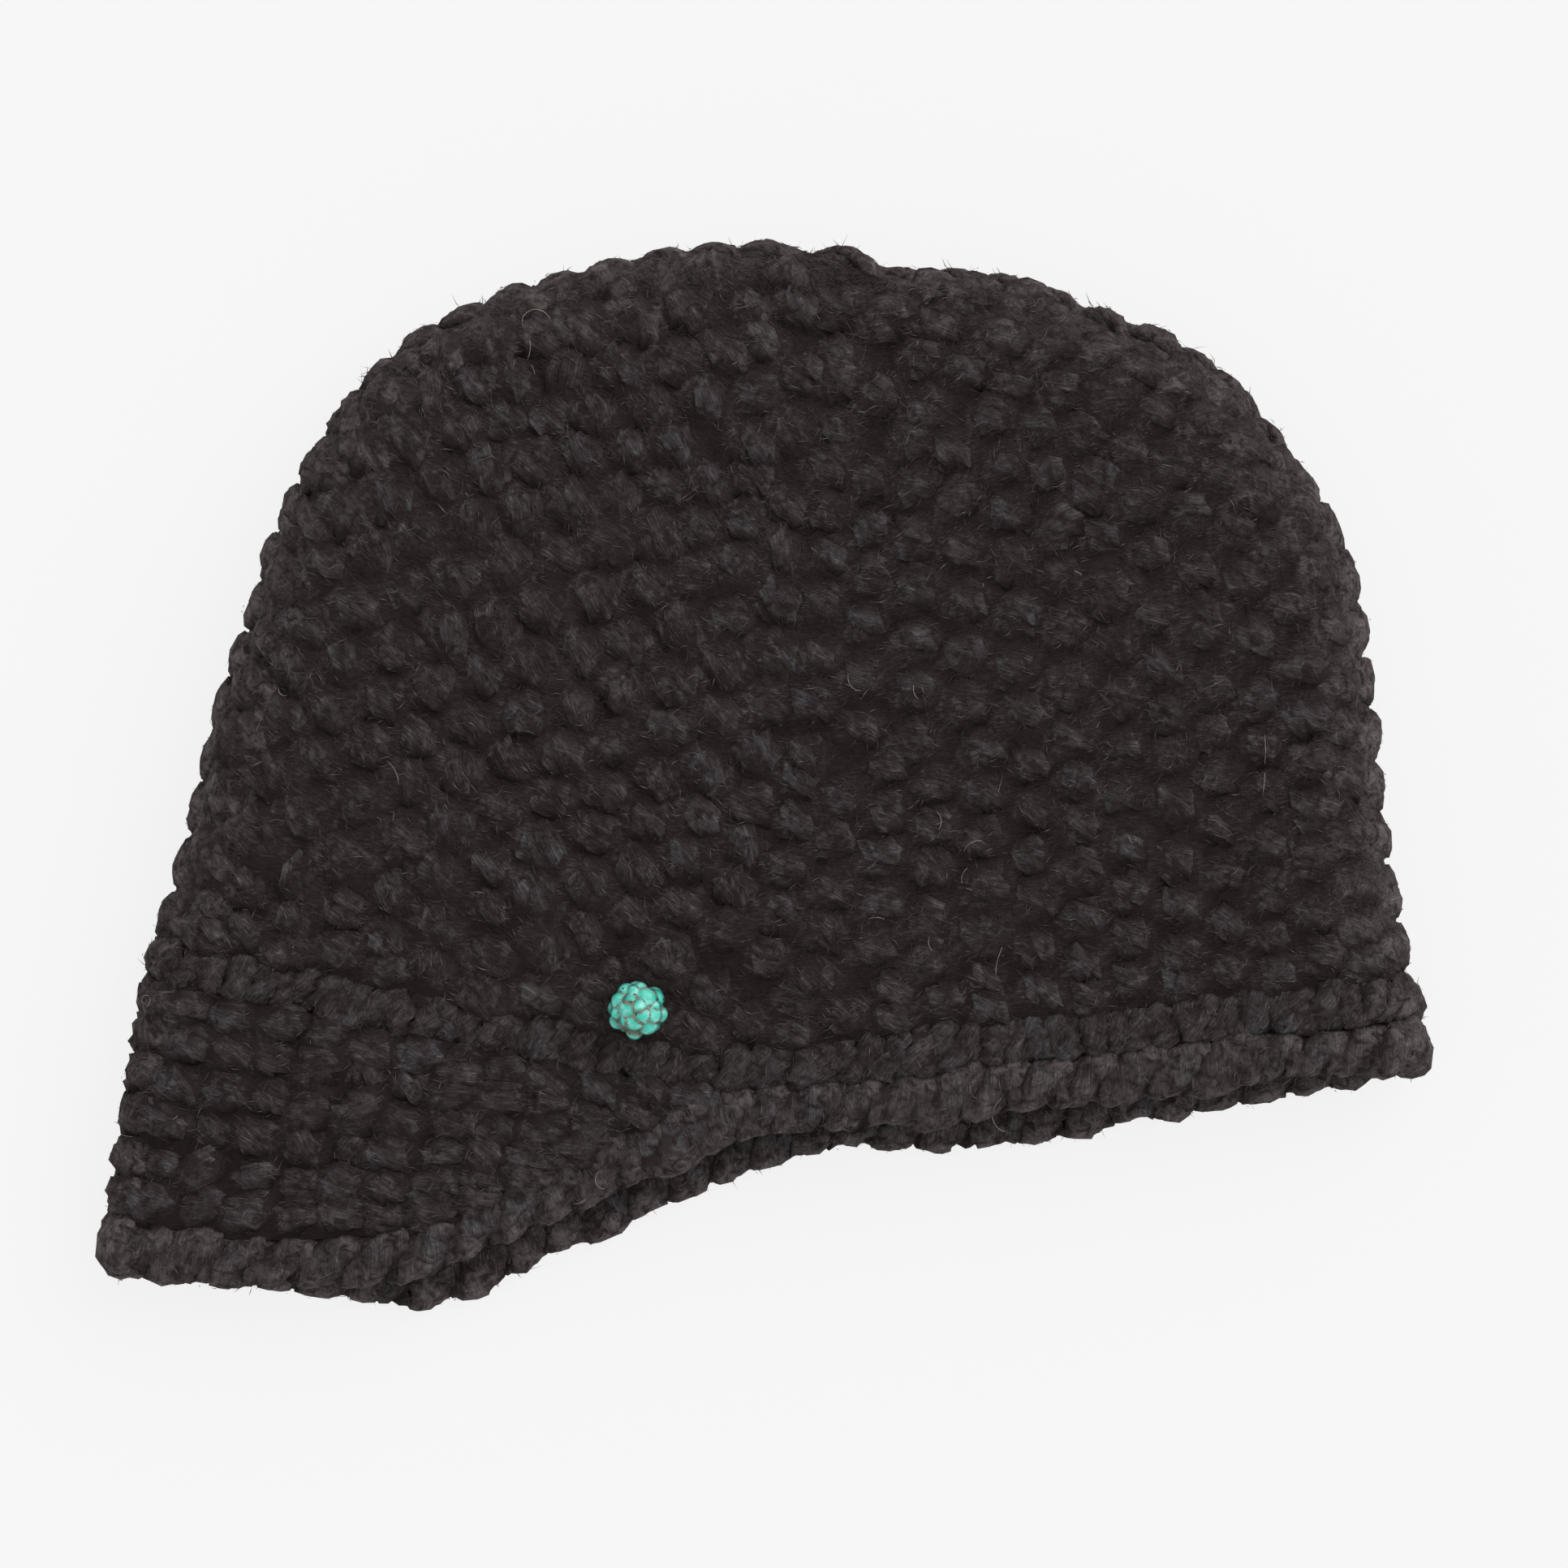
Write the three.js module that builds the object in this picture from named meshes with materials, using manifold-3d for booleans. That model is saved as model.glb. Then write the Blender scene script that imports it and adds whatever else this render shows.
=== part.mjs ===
// A crocheted wool cap with a small soft peak, lying flat on its side, in millimetres, +Z up.
// +X points to the back of the head, +Y to the top of the crown, and the cap rests on Z = 0.
// The cap lies as two layers that meet at a left fold (the middle of the forehead) and a right fold
// (the middle of the back of the head), with the hollow for the head between them and the hem open.

import * as THREE from 'three';
import { mergeVertices } from 'three/addons/utils/BufferGeometryUtils.js';
import Module from 'manifold-3d';

// Driving dimensions of the cloth
const wall = 6.5;               // thickness of the crocheted wall
const gap = 0.3;                // clearance between neighbouring pieces
const seamGap = 0.5;            // clearance along a seam, which narrows towards the inner face
const rowHeight = 4.6;          // height of half a stitch, the unit that rows are counted in
const upperSag = 0.1;           // share of its height that the upper layer loses towards the folds
const middleRound = 0.18;       // share of each side over which a round turns the corner at the middle
const segmentsPerQuarter = 16;  // facets from a fold to the middle of a layer
const crownSteps = 17;          // facets from the rim to the pole
const weld = 1e-4;              // points nearer than this are one point

// The rounds of the crown from the lower edge of the band to the pole. The plan place of a round is
// given at the left fold, at the middle of the layer and at the right fold. top, fold and base are the
// heights of the upper layer, of the folds and of the lower layer. roll is the plan distance over
// which the wall rolls over from the fold to a layer.
const rounds = table(
  ['row', 'leftX', 'leftY', 'midX', 'midY', 'rightX', 'rightY', 'top', 'fold', 'base', 'roll'],
  [
    [-1.5, -130.0, -42.3, -10.5, -66.6, 139.0, -50.0, 28.5, 13.5, 0, 15],
    [0, -129.1, -35.2, -10.5, -59.8, 137.0, -42.5, 29.5, 14, 0, 16],
    [4, -122.7, -18.2, -5.0, -42.0, 132.5, -23.8, 31.5, 14.5, 0, 16],
    [8.5, -116.2, 9.7, -0.6, -21.6, 129.3, 0.5, 33.5, 15, 0, 17],
    [13, -108.7, 33.3, 2.6, -1.2, 127.0, 23.3, 34.5, 15.5, 0, 17],
    [17, -100.7, 56.6, 6.0, 19.2, 121.8, 47.8, 34.5, 15.5, 0, 18],
    [21, -87.1, 78.7, 8.2, 39.6, 109.5, 68.9, 33.5, 15.5, 0, 19],
    [25, -71.3, 93.5, 9.9, 60.0, 92.2, 87.2, 32, 15, 0, 21],
    [28, -51.3, 102.2, 11.6, 77.0, 72.8, 96.6, 30.5, 14.5, 0, 26],
    [30.5, -30.0, 108.0, 11.6, 90.6, 50.0, 104.3, 28.5, 14, 0, 28],
    [32.5, -10.5, 110.7, 11.0, 101.7, 29.0, 105.9, 25.5, 13.5, 1.5, 20],
    [34, -1.5, 111.3, 10.5, 108.7, 20.0, 109.2, 21, 13.5, 6, 11],
    [35.5, 10.0, 111.5, 10.0, 111.5, 10.0, 111.5, 13.5, 13.5, 13.5, 0.5],
  ],
);
const rimRow = 0;
const poleRow = 35.5;
const hemRow = -1.5;

// How far the lower layer of the hem lies out beyond the upper one, by its place along X
const lowerDrop = table(
  ['x', 'drop'],
  [
    [-140, 0],
    [-90, 0.5],
    [-60, 1.5],
    [-35, 4.5],
    [-10, 8],
    [10, 3.5],
    [27, 5],
    [51, 7.5],
    [78, 4.5],
    [105, 3.5],
    [140, 0],
  ],
);
const dropFadeRow = 12;         // the row up the crown at which that offset has died out

// The rows of the peak from the band (0) to the edging (3), as offsets from the band's lower edge:
// along the fold, and along the slanting side that runs from the end of the peak to its corner.
// sag is how far a row bows out between the two, height its height beside the band's.
const peakRows = table(
  ['row', 'foldX', 'foldY', 'sideX', 'sideY', 'sag', 'height'],
  [
    [0, 0, 0, 0, 0, 0, 1],
    [1, -2.3, -14.9, -15.3, -7.4, 1.5, 0.96],
    [2, -5.7, -32.6, -32.3, -15.5, 3, 0.9],
    [3, -7.3, -48.9, -52.7, -26.1, 4.5, 0.83],
  ],
);
const peakRibs = 3;             // double rows, each a low rib
const ribDepth = 1.1;           // depth of the grooves between the ribs
const grooveSharpness = 6;      // how narrow they are beside the ribs, 2 being as wide
const cornerShiftX = -5;        // how far the lower layer's corner lies to the left of the upper one's

// Edging and band
const edgingHalfWidth = 5.9;
const edgingHalfThick = 3.9;
const edgingLobes = 62;         // strands of the rope-like last round
const edgingSegmentsPerLobe = 4;
const edgingSides = 8;
const lobeDepth = 0.13;         // share of the edging's radius between a strand and a groove
const bandBulge = 0.9;          // how far the band's ridge stands out between its two grooves
const bandShoulder = 0.63;      // how far it stands out beside the grooves
const bandGroove = 0.4;         // depth of the grooves

// The sewn-on bead: a lobed nugget with a low cross hole for the thread
const beadRadius = 6.65;
const beadX = -26.1;
const beadY = -48.8;
const beadRow = 2.2;            // round of the crown that the bead lies on
const beadTurn = 0.2;           // and the place round the cap where its height is taken
const nuggetLobes = 14;
const nuggetGroove = 0.9;
const lobeReach = 0.985;        // cosine of the angle from a lobe's middle at which it starts to fall
const lobeFall = 0.14;          // and the change in that cosine over which it falls to the groove
const threadRadius = 0.5;
const holeRadius = 0.85;
const holeBelowCentre = 3.2;
const holeSides = 10;
const threadSteps = 22;
const threadClearance = 0.4;    // between the bead's side and the thread that turns down beside it
const threadBend = 1.2;         // length over which the thread turns from the hole to the cloth

const wool = { color: 0x302b2b, roughness: 0.95, metalness: 0 };
const turquoise = { color: 0x4bcdb9, roughness: 0.35, metalness: 0 };
const thread = { color: 0x2a2727, roughness: 0.8, metalness: 0 };

// Turns rows of numbers into objects with named columns
function table(columns, rows) {
  return rows.map((row) => Object.fromEntries(columns.map((name, i) => [name, row[i]])));
}

// A smooth curve through one column of a table, by its key column
function between(rows, key, column, at) {
  let i = rows.findIndex((row) => row[key] > at) - 1;
  if (i < 0) i = at <= rows[0][key] ? 0 : rows.length - 2;
  const slope = (a, b) => (rows[b][column] - rows[a][column]) / (rows[b][key] - rows[a][key]);
  const span = rows[i + 1][key] - rows[i][key];
  const t = (at - rows[i][key]) / span;
  const before = i > 0 ? slope(i - 1, i + 1) : slope(i, i + 1);
  const after = i + 2 < rows.length ? slope(i, i + 2) : slope(i, i + 1);
  if (t < 0) return rows[i][column] + before * t * span;
  const t2 = t * t;
  const t3 = t2 * t;
  return (2 * t3 - 3 * t2 + 1) * rows[i][column] + (t3 - 2 * t2 + t) * span * before
    + (3 * t2 - 2 * t3) * rows[i + 1][column] + (t3 - t2) * span * after;
}

// The plan place on a round at a share of the way from one fold to the middle of the layer
function planPoint(fold, middle, otherFold, share) {
  const start = 1 - middleRound;
  if (share <= start) return fold.clone().lerp(middle, share);
  const t = (share - start) / (2 * middleRound);
  const near = fold.clone().lerp(middle, start);
  const far = otherFold.clone().lerp(middle, start);
  return near.multiplyScalar((1 - t) ** 2).addScaledVector(middle, 2 * t * (1 - t)).addScaledVector(far, t * t);
}

// A point of the cap's outer surface. turn runs once round the cap: 0 is the left fold, 0.25 the middle
// of the upper layer, 0.5 the right fold and 0.75 the middle of the lower layer.
function surfacePoint(row, turn) {
  const at = (column) => between(rounds, 'row', column, row);
  const wrapped = turn - Math.floor(turn);
  const upper = wrapped <= 0.5;
  const across = upper ? wrapped * 4 : (1 - wrapped) * 4;
  const left = new THREE.Vector2(at('leftX'), at('leftY'));
  const middle = new THREE.Vector2(at('midX'), at('midY'));
  const right = new THREE.Vector2(at('rightX'), at('rightY'));
  const fromLeft = across <= 1;
  const fold = fromLeft ? left : right;
  const otherFold = fromLeft ? right : left;
  const part = fromLeft ? across : 2 - across;
  const length = Math.max(fold.distanceTo(middle), 0.001);
  const roll = Math.min(at('roll'), length);
  const rise = at('top') - at('fold');
  const rollArc = (Math.PI / 2) * Math.sqrt((roll * roll + rise * rise) / 2);
  const along = part * (rollArc + length - roll);
  const angle = Math.min(along / rollArc, 1) * (Math.PI / 2);
  const distance = along < rollArc ? roll * (1 - Math.cos(angle)) : roll + along - rollArc;
  const share = Math.min(distance / length, 1);
  const plan = planPoint(fold, middle, otherFold, share);
  let z;
  if (upper) {
    z = at('fold') + rise * Math.sin(angle) * (1 - upperSag * (1 - share) ** 2);
  } else {
    z = at('fold') - (at('fold') - at('base')) * Math.sin(angle);
    const fade = 1 - THREE.MathUtils.smoothstep(row, 0, dropFadeRow);
    plan.y -= between(lowerDrop, 'x', 'drop', plan.x) * fade * Math.sin(angle);
  }
  return new THREE.Vector3(plan.x, plan.y, Math.max(z, 0));
}

// The outward direction of a surface given as a function of two parameters
function outward(surface, a, b, stepA, stepB) {
  const alongA = surface(a + stepA, b).sub(surface(a - stepA, b));
  const alongB = surface(a, b + stepB).sub(surface(a, b - stepB));
  return alongB.cross(alongA).normalize();
}

// A point of the wall: depth 0 is the outer face and depth 1 the inner face
function wallPoint(row, turn, depth) {
  const point = surfacePoint(row, turn);
  if (depth === 0) return point;
  return point.addScaledVector(wallNormal(row, turn), -wall * depth);
}

function wallNormal(row, turn) {
  const nearPole = 0.2;
  if (row > poleRow - nearPole) return new THREE.Vector3(0, 1, 0);
  const rowStep = 0.1;
  const turnStep = 0.004;
  return outward(surfacePoint, row, turn, rowStep, turnStep);
}

// A point of the peak's outer surface. side runs from -1, the end of the peak on the lower layer, over
// 0, the fold, to 1, its end on the upper layer.
function peakSurface(row, side) {
  const at = (column) => between(peakRows, 'row', column, row);
  const point = surfacePoint(hemRow - seamGap / rowHeight, side / 4);
  const share = Math.abs(side);
  point.x += THREE.MathUtils.lerp(at('foldX'), at('sideX'), share);
  point.y += THREE.MathUtils.lerp(at('foldY'), at('sideY'), share) - at('sag') * 4 * share * (1 - share);
  point.z *= at('height');
  if (side < 0) point.x += cornerShiftX * share * (row / peakRibs);
  return point;
}

// Its rows are counted downwards, so the direction is the other way round
function peakNormal(row, side) {
  const rowStep = 0.02;
  const sideStep = 0.01;
  return outward(peakSurface, row, side, rowStep, sideStep).negate();
}

// One closed body from a grid of points. Around, the grid closes on itself or ends in two flat caps.
// Along, it closes on itself or ends in two single points.
function gridBody(around, along, point, { closeAround = true, closeAlong = true } = {}) {
  const positions = [];
  const indices = [];
  for (let i = 0; i < around; i++) {
    for (let j = 0; j < along; j++) positions.push(...point(i, j).toArray());
  }
  const at = (i, j) => (i % around) * along + (j % along);
  const lastAround = closeAround ? around : around - 1;
  const lastAlong = closeAlong ? along : along - 1;
  for (let i = 0; i < lastAround; i++) {
    for (let j = 0; j < lastAlong; j++) {
      indices.push(at(i, j), at(i + 1, j + 1), at(i + 1, j));
      indices.push(at(i, j), at(i, j + 1), at(i + 1, j + 1));
    }
  }
  if (!closeAround) {
    addCap(indices, along, 0, false);
    addCap(indices, along, (around - 1) * along, true);
  }
  const geometry = new THREE.BufferGeometry();
  geometry.setAttribute('position', new THREE.Float32BufferAttribute(positions, 3));
  geometry.setIndex(indices);
  const welded = mergeVertices(geometry, weld);
  return dropFlat(welded);
}

// Closes one end of a grid whose section runs out along the wall's outer face and back along its inner
function addCap(indices, count, first, flipped) {
  let low = 0;
  let high = count - 1;
  while (high - low > 1) {
    const triangles = [[low, low + 1, high]];
    if (high - low > 2) triangles.push([low + 1, high - 1, high]);
    triangles.forEach(([a, b, c]) => {
      indices.push(first + a, first + (flipped ? b : c), first + (flipped ? c : b));
    });
    low += 1;
    high -= 1;
  }
}

// Leaves out the triangles that a pole or a weld has reduced to a line
function dropFlat(geometry) {
  const index = geometry.getIndex().array;
  const kept = [];
  for (let i = 0; i < index.length; i += 3) {
    const [a, b, c] = [index[i], index[i + 1], index[i + 2]];
    if (a !== b && b !== c && c !== a) kept.push(a, b, c);
  }
  geometry.setIndex(kept);
  return geometry;
}

function piece(name, geometry, look) {
  const faceted = geometry.toNonIndexed();
  faceted.computeVertexNormals();
  const mesh = new THREE.Mesh(faceted, new THREE.MeshStandardMaterial(look));
  mesh.name = name;
  return mesh;
}

const segmentsAround = segmentsPerQuarter * 4;

// The crown: an open bag with one wall, from the rim over the pole, outside and inside
function crown() {
  const rows = [];
  for (let i = 0; i <= crownSteps; i++) rows.push(rimRow + ((poleRow - rimRow) * i) / crownSteps);
  const section = [
    ...rows.map((row) => ({ row, depth: 0 })).reverse(),
    ...rows.map((row) => ({ row, depth: 1 })),
  ];
  const point = (i, j) => wallPoint(section[j].row, i / segmentsAround, section[j].depth);
  return gridBody(segmentsAround, section.length, point, { closeAlong: false });
}

// The band: a ring of the wall's thickness whose outer face is one low ridge between two grooves
function band() {
  const top = rimRow - seamGap / rowHeight;
  const shoulder = 0.2;
  const section = [
    { share: 1, out: -bandGroove },
    { share: 1 - shoulder, out: bandShoulder },
    { share: 0.5, out: bandBulge },
    { share: shoulder, out: bandShoulder },
    { share: 0, out: -bandGroove },
    { share: 0, out: -wall },
    { share: 1, out: -wall },
  ];
  const point = (i, j) => {
    const row = THREE.MathUtils.lerp(hemRow, top, section[j].share);
    const turn = i / segmentsAround;
    const facing = wallNormal(THREE.MathUtils.lerp(hemRow, rimRow, section[j].share), turn);
    return onTable(surfacePoint(row, turn).addScaledVector(facing, section[j].out));
  };
  return gridBody(segmentsAround, section.length, point);
}

// Nothing of the lower layer reaches below the surface that the cap lies on
function onTable(point) {
  point.z = Math.max(point.z, 0);
  return point;
}

// The peak: the wall carried on below the band round the left fold, in three ribbed double rows
function peak() {
  const stepsPerRib = 4;
  const steps = peakRibs * stepsPerRib;
  const section = [];
  for (let i = 0; i <= steps; i++) {
    const groove = ribDepth * Math.cos((Math.PI * i) / stepsPerRib) ** grooveSharpness;
    section.push({ row: (peakRibs * i) / steps, depth: groove });
  }
  for (let i = peakRibs; i >= 0; i--) section.push({ row: i, depth: wall });
  const sides = segmentsPerQuarter * 2;
  const point = (i, j) => {
    const side = (2 * i) / sides - 1;
    const { row, depth } = section[j];
    return onTable(peakSurface(row, side).addScaledVector(peakNormal(row, side), -depth));
  };
  return gridBody(sides + 1, section.length, point, { closeAround: false });
}

// The line that the edging follows: the lower edge of the wall, round the peak and along the band
function hemLine() {
  const line = [];
  const add = (point, normal) => line.push({ point, normal });
  const alongPeak = 12;         // points on each half of the peak's edge
  const alongSide = 5;          // points on each slanting side of the peak
  const alongBand = 13;         // points from one end of the peak round the back to the other
  const corner = 0.97;          // share of the peak's edge that is left when the corner is cut
  const sideTop = 0.93;         // and of its side at the corner
  const sideRun = 0.85;         // share of the side that the line follows
  const bandStart = 0.26;       // turn where the line leaves the peak for the band
  const addPeak = (row, side) => add(peakSurface(row, side), peakNormal(row, side));
  for (let i = 0; i < alongPeak; i++) addPeak(peakRibs, (corner * i) / alongPeak);
  const sideRow = (i) => peakRibs * (sideTop - (sideRun * i) / alongSide);
  for (let i = 0; i < alongSide; i++) addPeak(sideRow(i), 1);
  for (let i = 0; i <= alongBand; i++) {
    const turn = THREE.MathUtils.lerp(bandStart, 1 - bandStart, i / alongBand);
    add(surfacePoint(hemRow, turn), wallNormal(hemRow, turn));
  }
  for (let i = alongSide - 1; i >= 0; i--) addPeak(sideRow(i), -1);
  for (let i = alongPeak - 1; i > 0; i--) addPeak(peakRibs, (-corner * i) / alongPeak);
  return line;
}

// The edging: a ring of slanting rope-like strands hung under the hem line
function edging() {
  const line = hemLine();
  const centre = new THREE.CatmullRomCurve3(line.map((spot) => spot.point), true, 'centripetal');
  const facing = new THREE.CatmullRomCurve3(line.map((spot) => spot.normal), true, 'centripetal');
  const steps = edgingLobes * edgingSegmentsPerLobe;
  const point = (i, j) => {
    const t = i / steps;
    const at = centre.getUtoTmapping(t);
    const normal = facing.getPoint(at).normalize();
    const down = centre.getTangent(at).cross(normal).normalize();
    const angle = (-2 * Math.PI * j) / edgingSides;
    const twist = 2 * Math.PI * edgingLobes * t + angle;
    const size = 1 - lobeDepth * (0.5 - 0.5 * Math.cos(twist));
    return onTable(centre.getPoint(at)
      .addScaledVector(down, edgingHalfWidth + 2 * gap + Math.cos(angle) * edgingHalfWidth * size)
      .addScaledVector(normal, -edgingHalfThick + Math.sin(angle) * edgingHalfThick * size));
  };
  return gridBody(steps, edgingSides, point);
}

// Directions spread evenly over a ball
function spreadDirections(count) {
  const goldenAngle = Math.PI * (3 - Math.sqrt(5));
  return Array.from({ length: count }, (_, i) => {
    const z = 1 - (2 * i + 1) / count;
    const r = Math.sqrt(1 - z * z);
    return new THREE.Vector3(r * Math.cos(goldenAngle * i), r * Math.sin(goldenAngle * i), z);
  });
}

const wasm = await Module();
wasm.setup();

function toSolid(geometry) {
  const bare = geometry.clone();
  bare.deleteAttribute('normal');
  bare.deleteAttribute('uv');
  const merged = dropFlat(mergeVertices(bare, weld));
  return new wasm.Manifold(new wasm.Mesh({
    numProp: 3,
    vertProperties: new Float32Array(merged.getAttribute('position').array),
    triVerts: new Uint32Array(merged.getIndex().array),
  }));
}

function fromSolid(solid) {
  const mesh = solid.getMesh();
  const geometry = new THREE.BufferGeometry();
  geometry.setAttribute('position', new THREE.BufferAttribute(new Float32Array(mesh.vertProperties), 3));
  geometry.setIndex(new THREE.BufferAttribute(new Uint32Array(mesh.triVerts), 1));
  return geometry;
}

const beadSeat = surfacePoint(beadRow, beadTurn).z;
const beadCentre = new THREE.Vector3(beadX, beadY, beadSeat + beadRadius + gap);

// The bead: a ball of rounded lobes, drilled from side to side below its middle
function bead() {
  const lobes = spreadDirections(nuggetLobes);
  const detail = 5;
  const ball = new THREE.IcosahedronGeometry(1, detail);
  const positions = ball.getAttribute('position');
  const direction = new THREE.Vector3();
  for (let i = 0; i < positions.count; i++) {
    direction.fromBufferAttribute(positions, i).normalize();
    const nearest = Math.max(...lobes.map((lobe) => lobe.dot(direction)));
    const fall = THREE.MathUtils.clamp((lobeReach - nearest) / lobeFall, 0, 1);
    direction.multiplyScalar(beadRadius - nuggetGroove * fall * fall);
    positions.setXYZ(i, direction.x, direction.y, direction.z);
  }
  const drill = new THREE.CylinderGeometry(holeRadius, holeRadius, beadRadius * 3, holeSides);
  drill.rotateZ(Math.PI / 2);
  drill.translate(0, 0, -holeBelowCentre);
  const geometry = fromSolid(toSolid(ball).subtract(toSolid(drill)));
  geometry.translate(...beadCentre.toArray());
  return geometry;
}

// The thread: one loop through the bead's hole with both ends down on the cloth
function beadThread() {
  const half = Math.sqrt(beadRadius ** 2 - holeBelowCentre ** 2) + threadRadius + threadClearance;
  const height = beadRadius - holeBelowCentre - threadRadius;
  const path = new THREE.CatmullRomCurve3([
    new THREE.Vector3(-half, 0, -height),
    new THREE.Vector3(-half, 0, -threadBend * 2 / 3),
    new THREE.Vector3(-half + threadRadius, 0, 0),
    new THREE.Vector3(-half + threadBend, 0, 0),
    new THREE.Vector3(half - threadBend, 0, 0),
    new THREE.Vector3(half - threadRadius, 0, 0),
    new THREE.Vector3(half, 0, -threadBend * 2 / 3),
    new THREE.Vector3(half, 0, -height),
  ], false, 'centripetal');
  const round = new THREE.Shape();
  round.absarc(0, 0, threadRadius, 0, Math.PI * 2);
  const geometry = new THREE.ExtrudeGeometry(round, {
    steps: threadSteps, curveSegments: 4, extrudePath: path, bevelEnabled: false,
  });
  geometry.translate(beadCentre.x, beadCentre.y, beadCentre.z - holeBelowCentre);
  geometry.deleteAttribute('normal');
  geometry.deleteAttribute('uv');
  return dropFlat(mergeVertices(geometry, weld));
}

// The tables' zero is the middle of the cap as it was measured, and the group moves it so that the
// origin is the middle of the finished part's base
const measuredMiddle = new THREE.Vector2(0.09, -0.64);

const cap = new THREE.Group();
cap.position.set(-measuredMiddle.x, -measuredMiddle.y, 0);
cap.add(
  piece('crown', crown(), wool),
  piece('band', band(), wool),
  piece('peak', peak(), wool),
  piece('edging', edging(), wool),
  piece('bead', bead(), turquoise),
  piece('bead_thread', beadThread(), thread),
);

export default cap;
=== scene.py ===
import math

import bpy
import numpy as np
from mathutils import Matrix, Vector


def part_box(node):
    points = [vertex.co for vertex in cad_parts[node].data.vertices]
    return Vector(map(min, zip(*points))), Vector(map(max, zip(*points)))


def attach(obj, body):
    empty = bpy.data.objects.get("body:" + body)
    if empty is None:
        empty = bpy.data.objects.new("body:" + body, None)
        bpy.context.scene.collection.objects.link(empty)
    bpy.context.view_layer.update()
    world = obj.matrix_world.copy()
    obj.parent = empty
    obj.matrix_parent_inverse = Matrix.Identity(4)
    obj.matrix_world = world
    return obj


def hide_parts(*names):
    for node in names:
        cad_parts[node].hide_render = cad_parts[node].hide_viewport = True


# A crocheted wool cap with a small peak and one nugget bead, lying flat on its side.
# The plan is worked out in millimetres and turned to metres when a mesh is made.

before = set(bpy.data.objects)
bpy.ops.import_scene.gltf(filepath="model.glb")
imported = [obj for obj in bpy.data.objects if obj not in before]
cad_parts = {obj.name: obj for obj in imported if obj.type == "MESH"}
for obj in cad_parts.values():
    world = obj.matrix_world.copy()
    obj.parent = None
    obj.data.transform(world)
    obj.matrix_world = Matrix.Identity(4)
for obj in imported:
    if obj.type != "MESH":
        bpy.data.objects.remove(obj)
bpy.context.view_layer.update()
print("frame loaded")

millimetre = 0.001
planShift = np.array([-0.09, 0.64, 0.0])  # from the measured middle of the cap to the origin
uvMillimetres = 10.0  # the fibre pattern's map is in centimetres
random = np.random.default_rng(11)


def table(columns, rows):
    return {name: np.array([row[i] for row in rows], float) for i, name in enumerate(columns)}


# The rounds of the crown from the lower edge of the band (-1.5) over the rim (0) to the pole, counted
# in half stitches: plan place at the left fold, the middle of the layer and the right fold, then the
# heights of the upper layer, the folds and the lower layer, and how far the wall rolls over
rounds = table(
    ["row", "leftX", "leftY", "midX", "midY", "rightX", "rightY", "top", "fold", "base", "roll"],
    [
        [-1.5, -130.0, -42.3, -10.5, -66.6, 139.0, -50.0, 28.5, 13.5, 0, 15],
        [0, -129.1, -35.2, -10.5, -59.8, 137.0, -42.5, 29.5, 14, 0, 16],
        [4, -122.7, -18.2, -5.0, -42.0, 132.5, -23.8, 31.5, 14.5, 0, 16],
        [8.5, -116.2, 9.7, -0.6, -21.6, 129.3, 0.5, 33.5, 15, 0, 17],
        [13, -108.7, 33.3, 2.6, -1.2, 127.0, 23.3, 34.5, 15.5, 0, 17],
        [17, -100.7, 56.6, 6.0, 19.2, 121.8, 47.8, 34.5, 15.5, 0, 18],
        [21, -87.1, 78.7, 8.2, 39.6, 109.5, 68.9, 33.5, 15.5, 0, 19],
        [25, -71.3, 93.5, 9.9, 60.0, 92.2, 87.2, 32, 15, 0, 21],
        [28, -51.3, 102.2, 11.6, 77.0, 72.8, 96.6, 30.5, 14.5, 0, 26],
        [30.5, -30.0, 108.0, 11.6, 90.6, 50.0, 104.3, 28.5, 14, 0, 28],
        [32.5, -10.5, 110.7, 11.0, 101.7, 29.0, 105.9, 25.5, 13.5, 1.5, 20],
        [34, -1.5, 111.3, 10.5, 108.7, 20.0, 109.2, 21, 13.5, 6, 11],
        [35.5, 10.0, 111.5, 10.0, 111.5, 10.0, 111.5, 13.5, 13.5, 13.5, 0.5],
    ],
)
lowerDrop = table(  # how far the lower layer of the hem lies out beyond the upper one
    ["x", "drop"],
    [
        [-140, 0], [-90, 0.5], [-60, 1.5], [-35, 4.5], [-10, 8], [10, 3.5],
        [27, 5], [51, 7.5], [78, 4.5], [105, 3.5], [140, 0],
    ],
)
peakRows = table(  # the peak from the band (0) to the edging (3), as offsets from the band's lower edge
    ["row", "foldX", "foldY", "sideX", "sideY", "sag", "height"],
    [
        [0, 0, 0, 0, 0, 0, 1],
        [1, -2.3, -14.9, -15.3, -7.4, 1.5, 0.96],
        [2, -5.7, -32.6, -32.3, -15.5, 3, 0.9],
        [3, -7.3, -48.9, -52.7, -26.1, 4.5, 0.83],
    ],
)
columnWidth = table(  # width of a stitch on each round
    ["row", "width"],
    [[0, 9.95], [4, 9.85], [8.5, 9.75], [13, 9.7], [17, 9.35], [21, 8.85], [25, 8.5], [35.5, 8.5]],
)
cloth = {
    "rowHeight": 4.6,
    "hemRow": -1.5,
    "rimRow": 0.05,  # just above the rim, where the crown's wall starts
    "soundRow": 34.9,  # the last row that is long enough to take a direction from
    "tipRow": 35.3,  # past it all is the pole
    "poleRow": 35.5,
    "halfRows": 35,
    "columns": 28,  # more than the longest round has from a fold to the middle
    "spreadColumns": 5,  # how many of the last ones spread to end at the middle
    "seamGap": 0.5,
    "dropFadeRow": 12.0,
    "upperSag": 0.1,
    "middleRound": 0.18,
    "cornerShiftX": -5.0,
    "peakRibs": 3,
}
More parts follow.
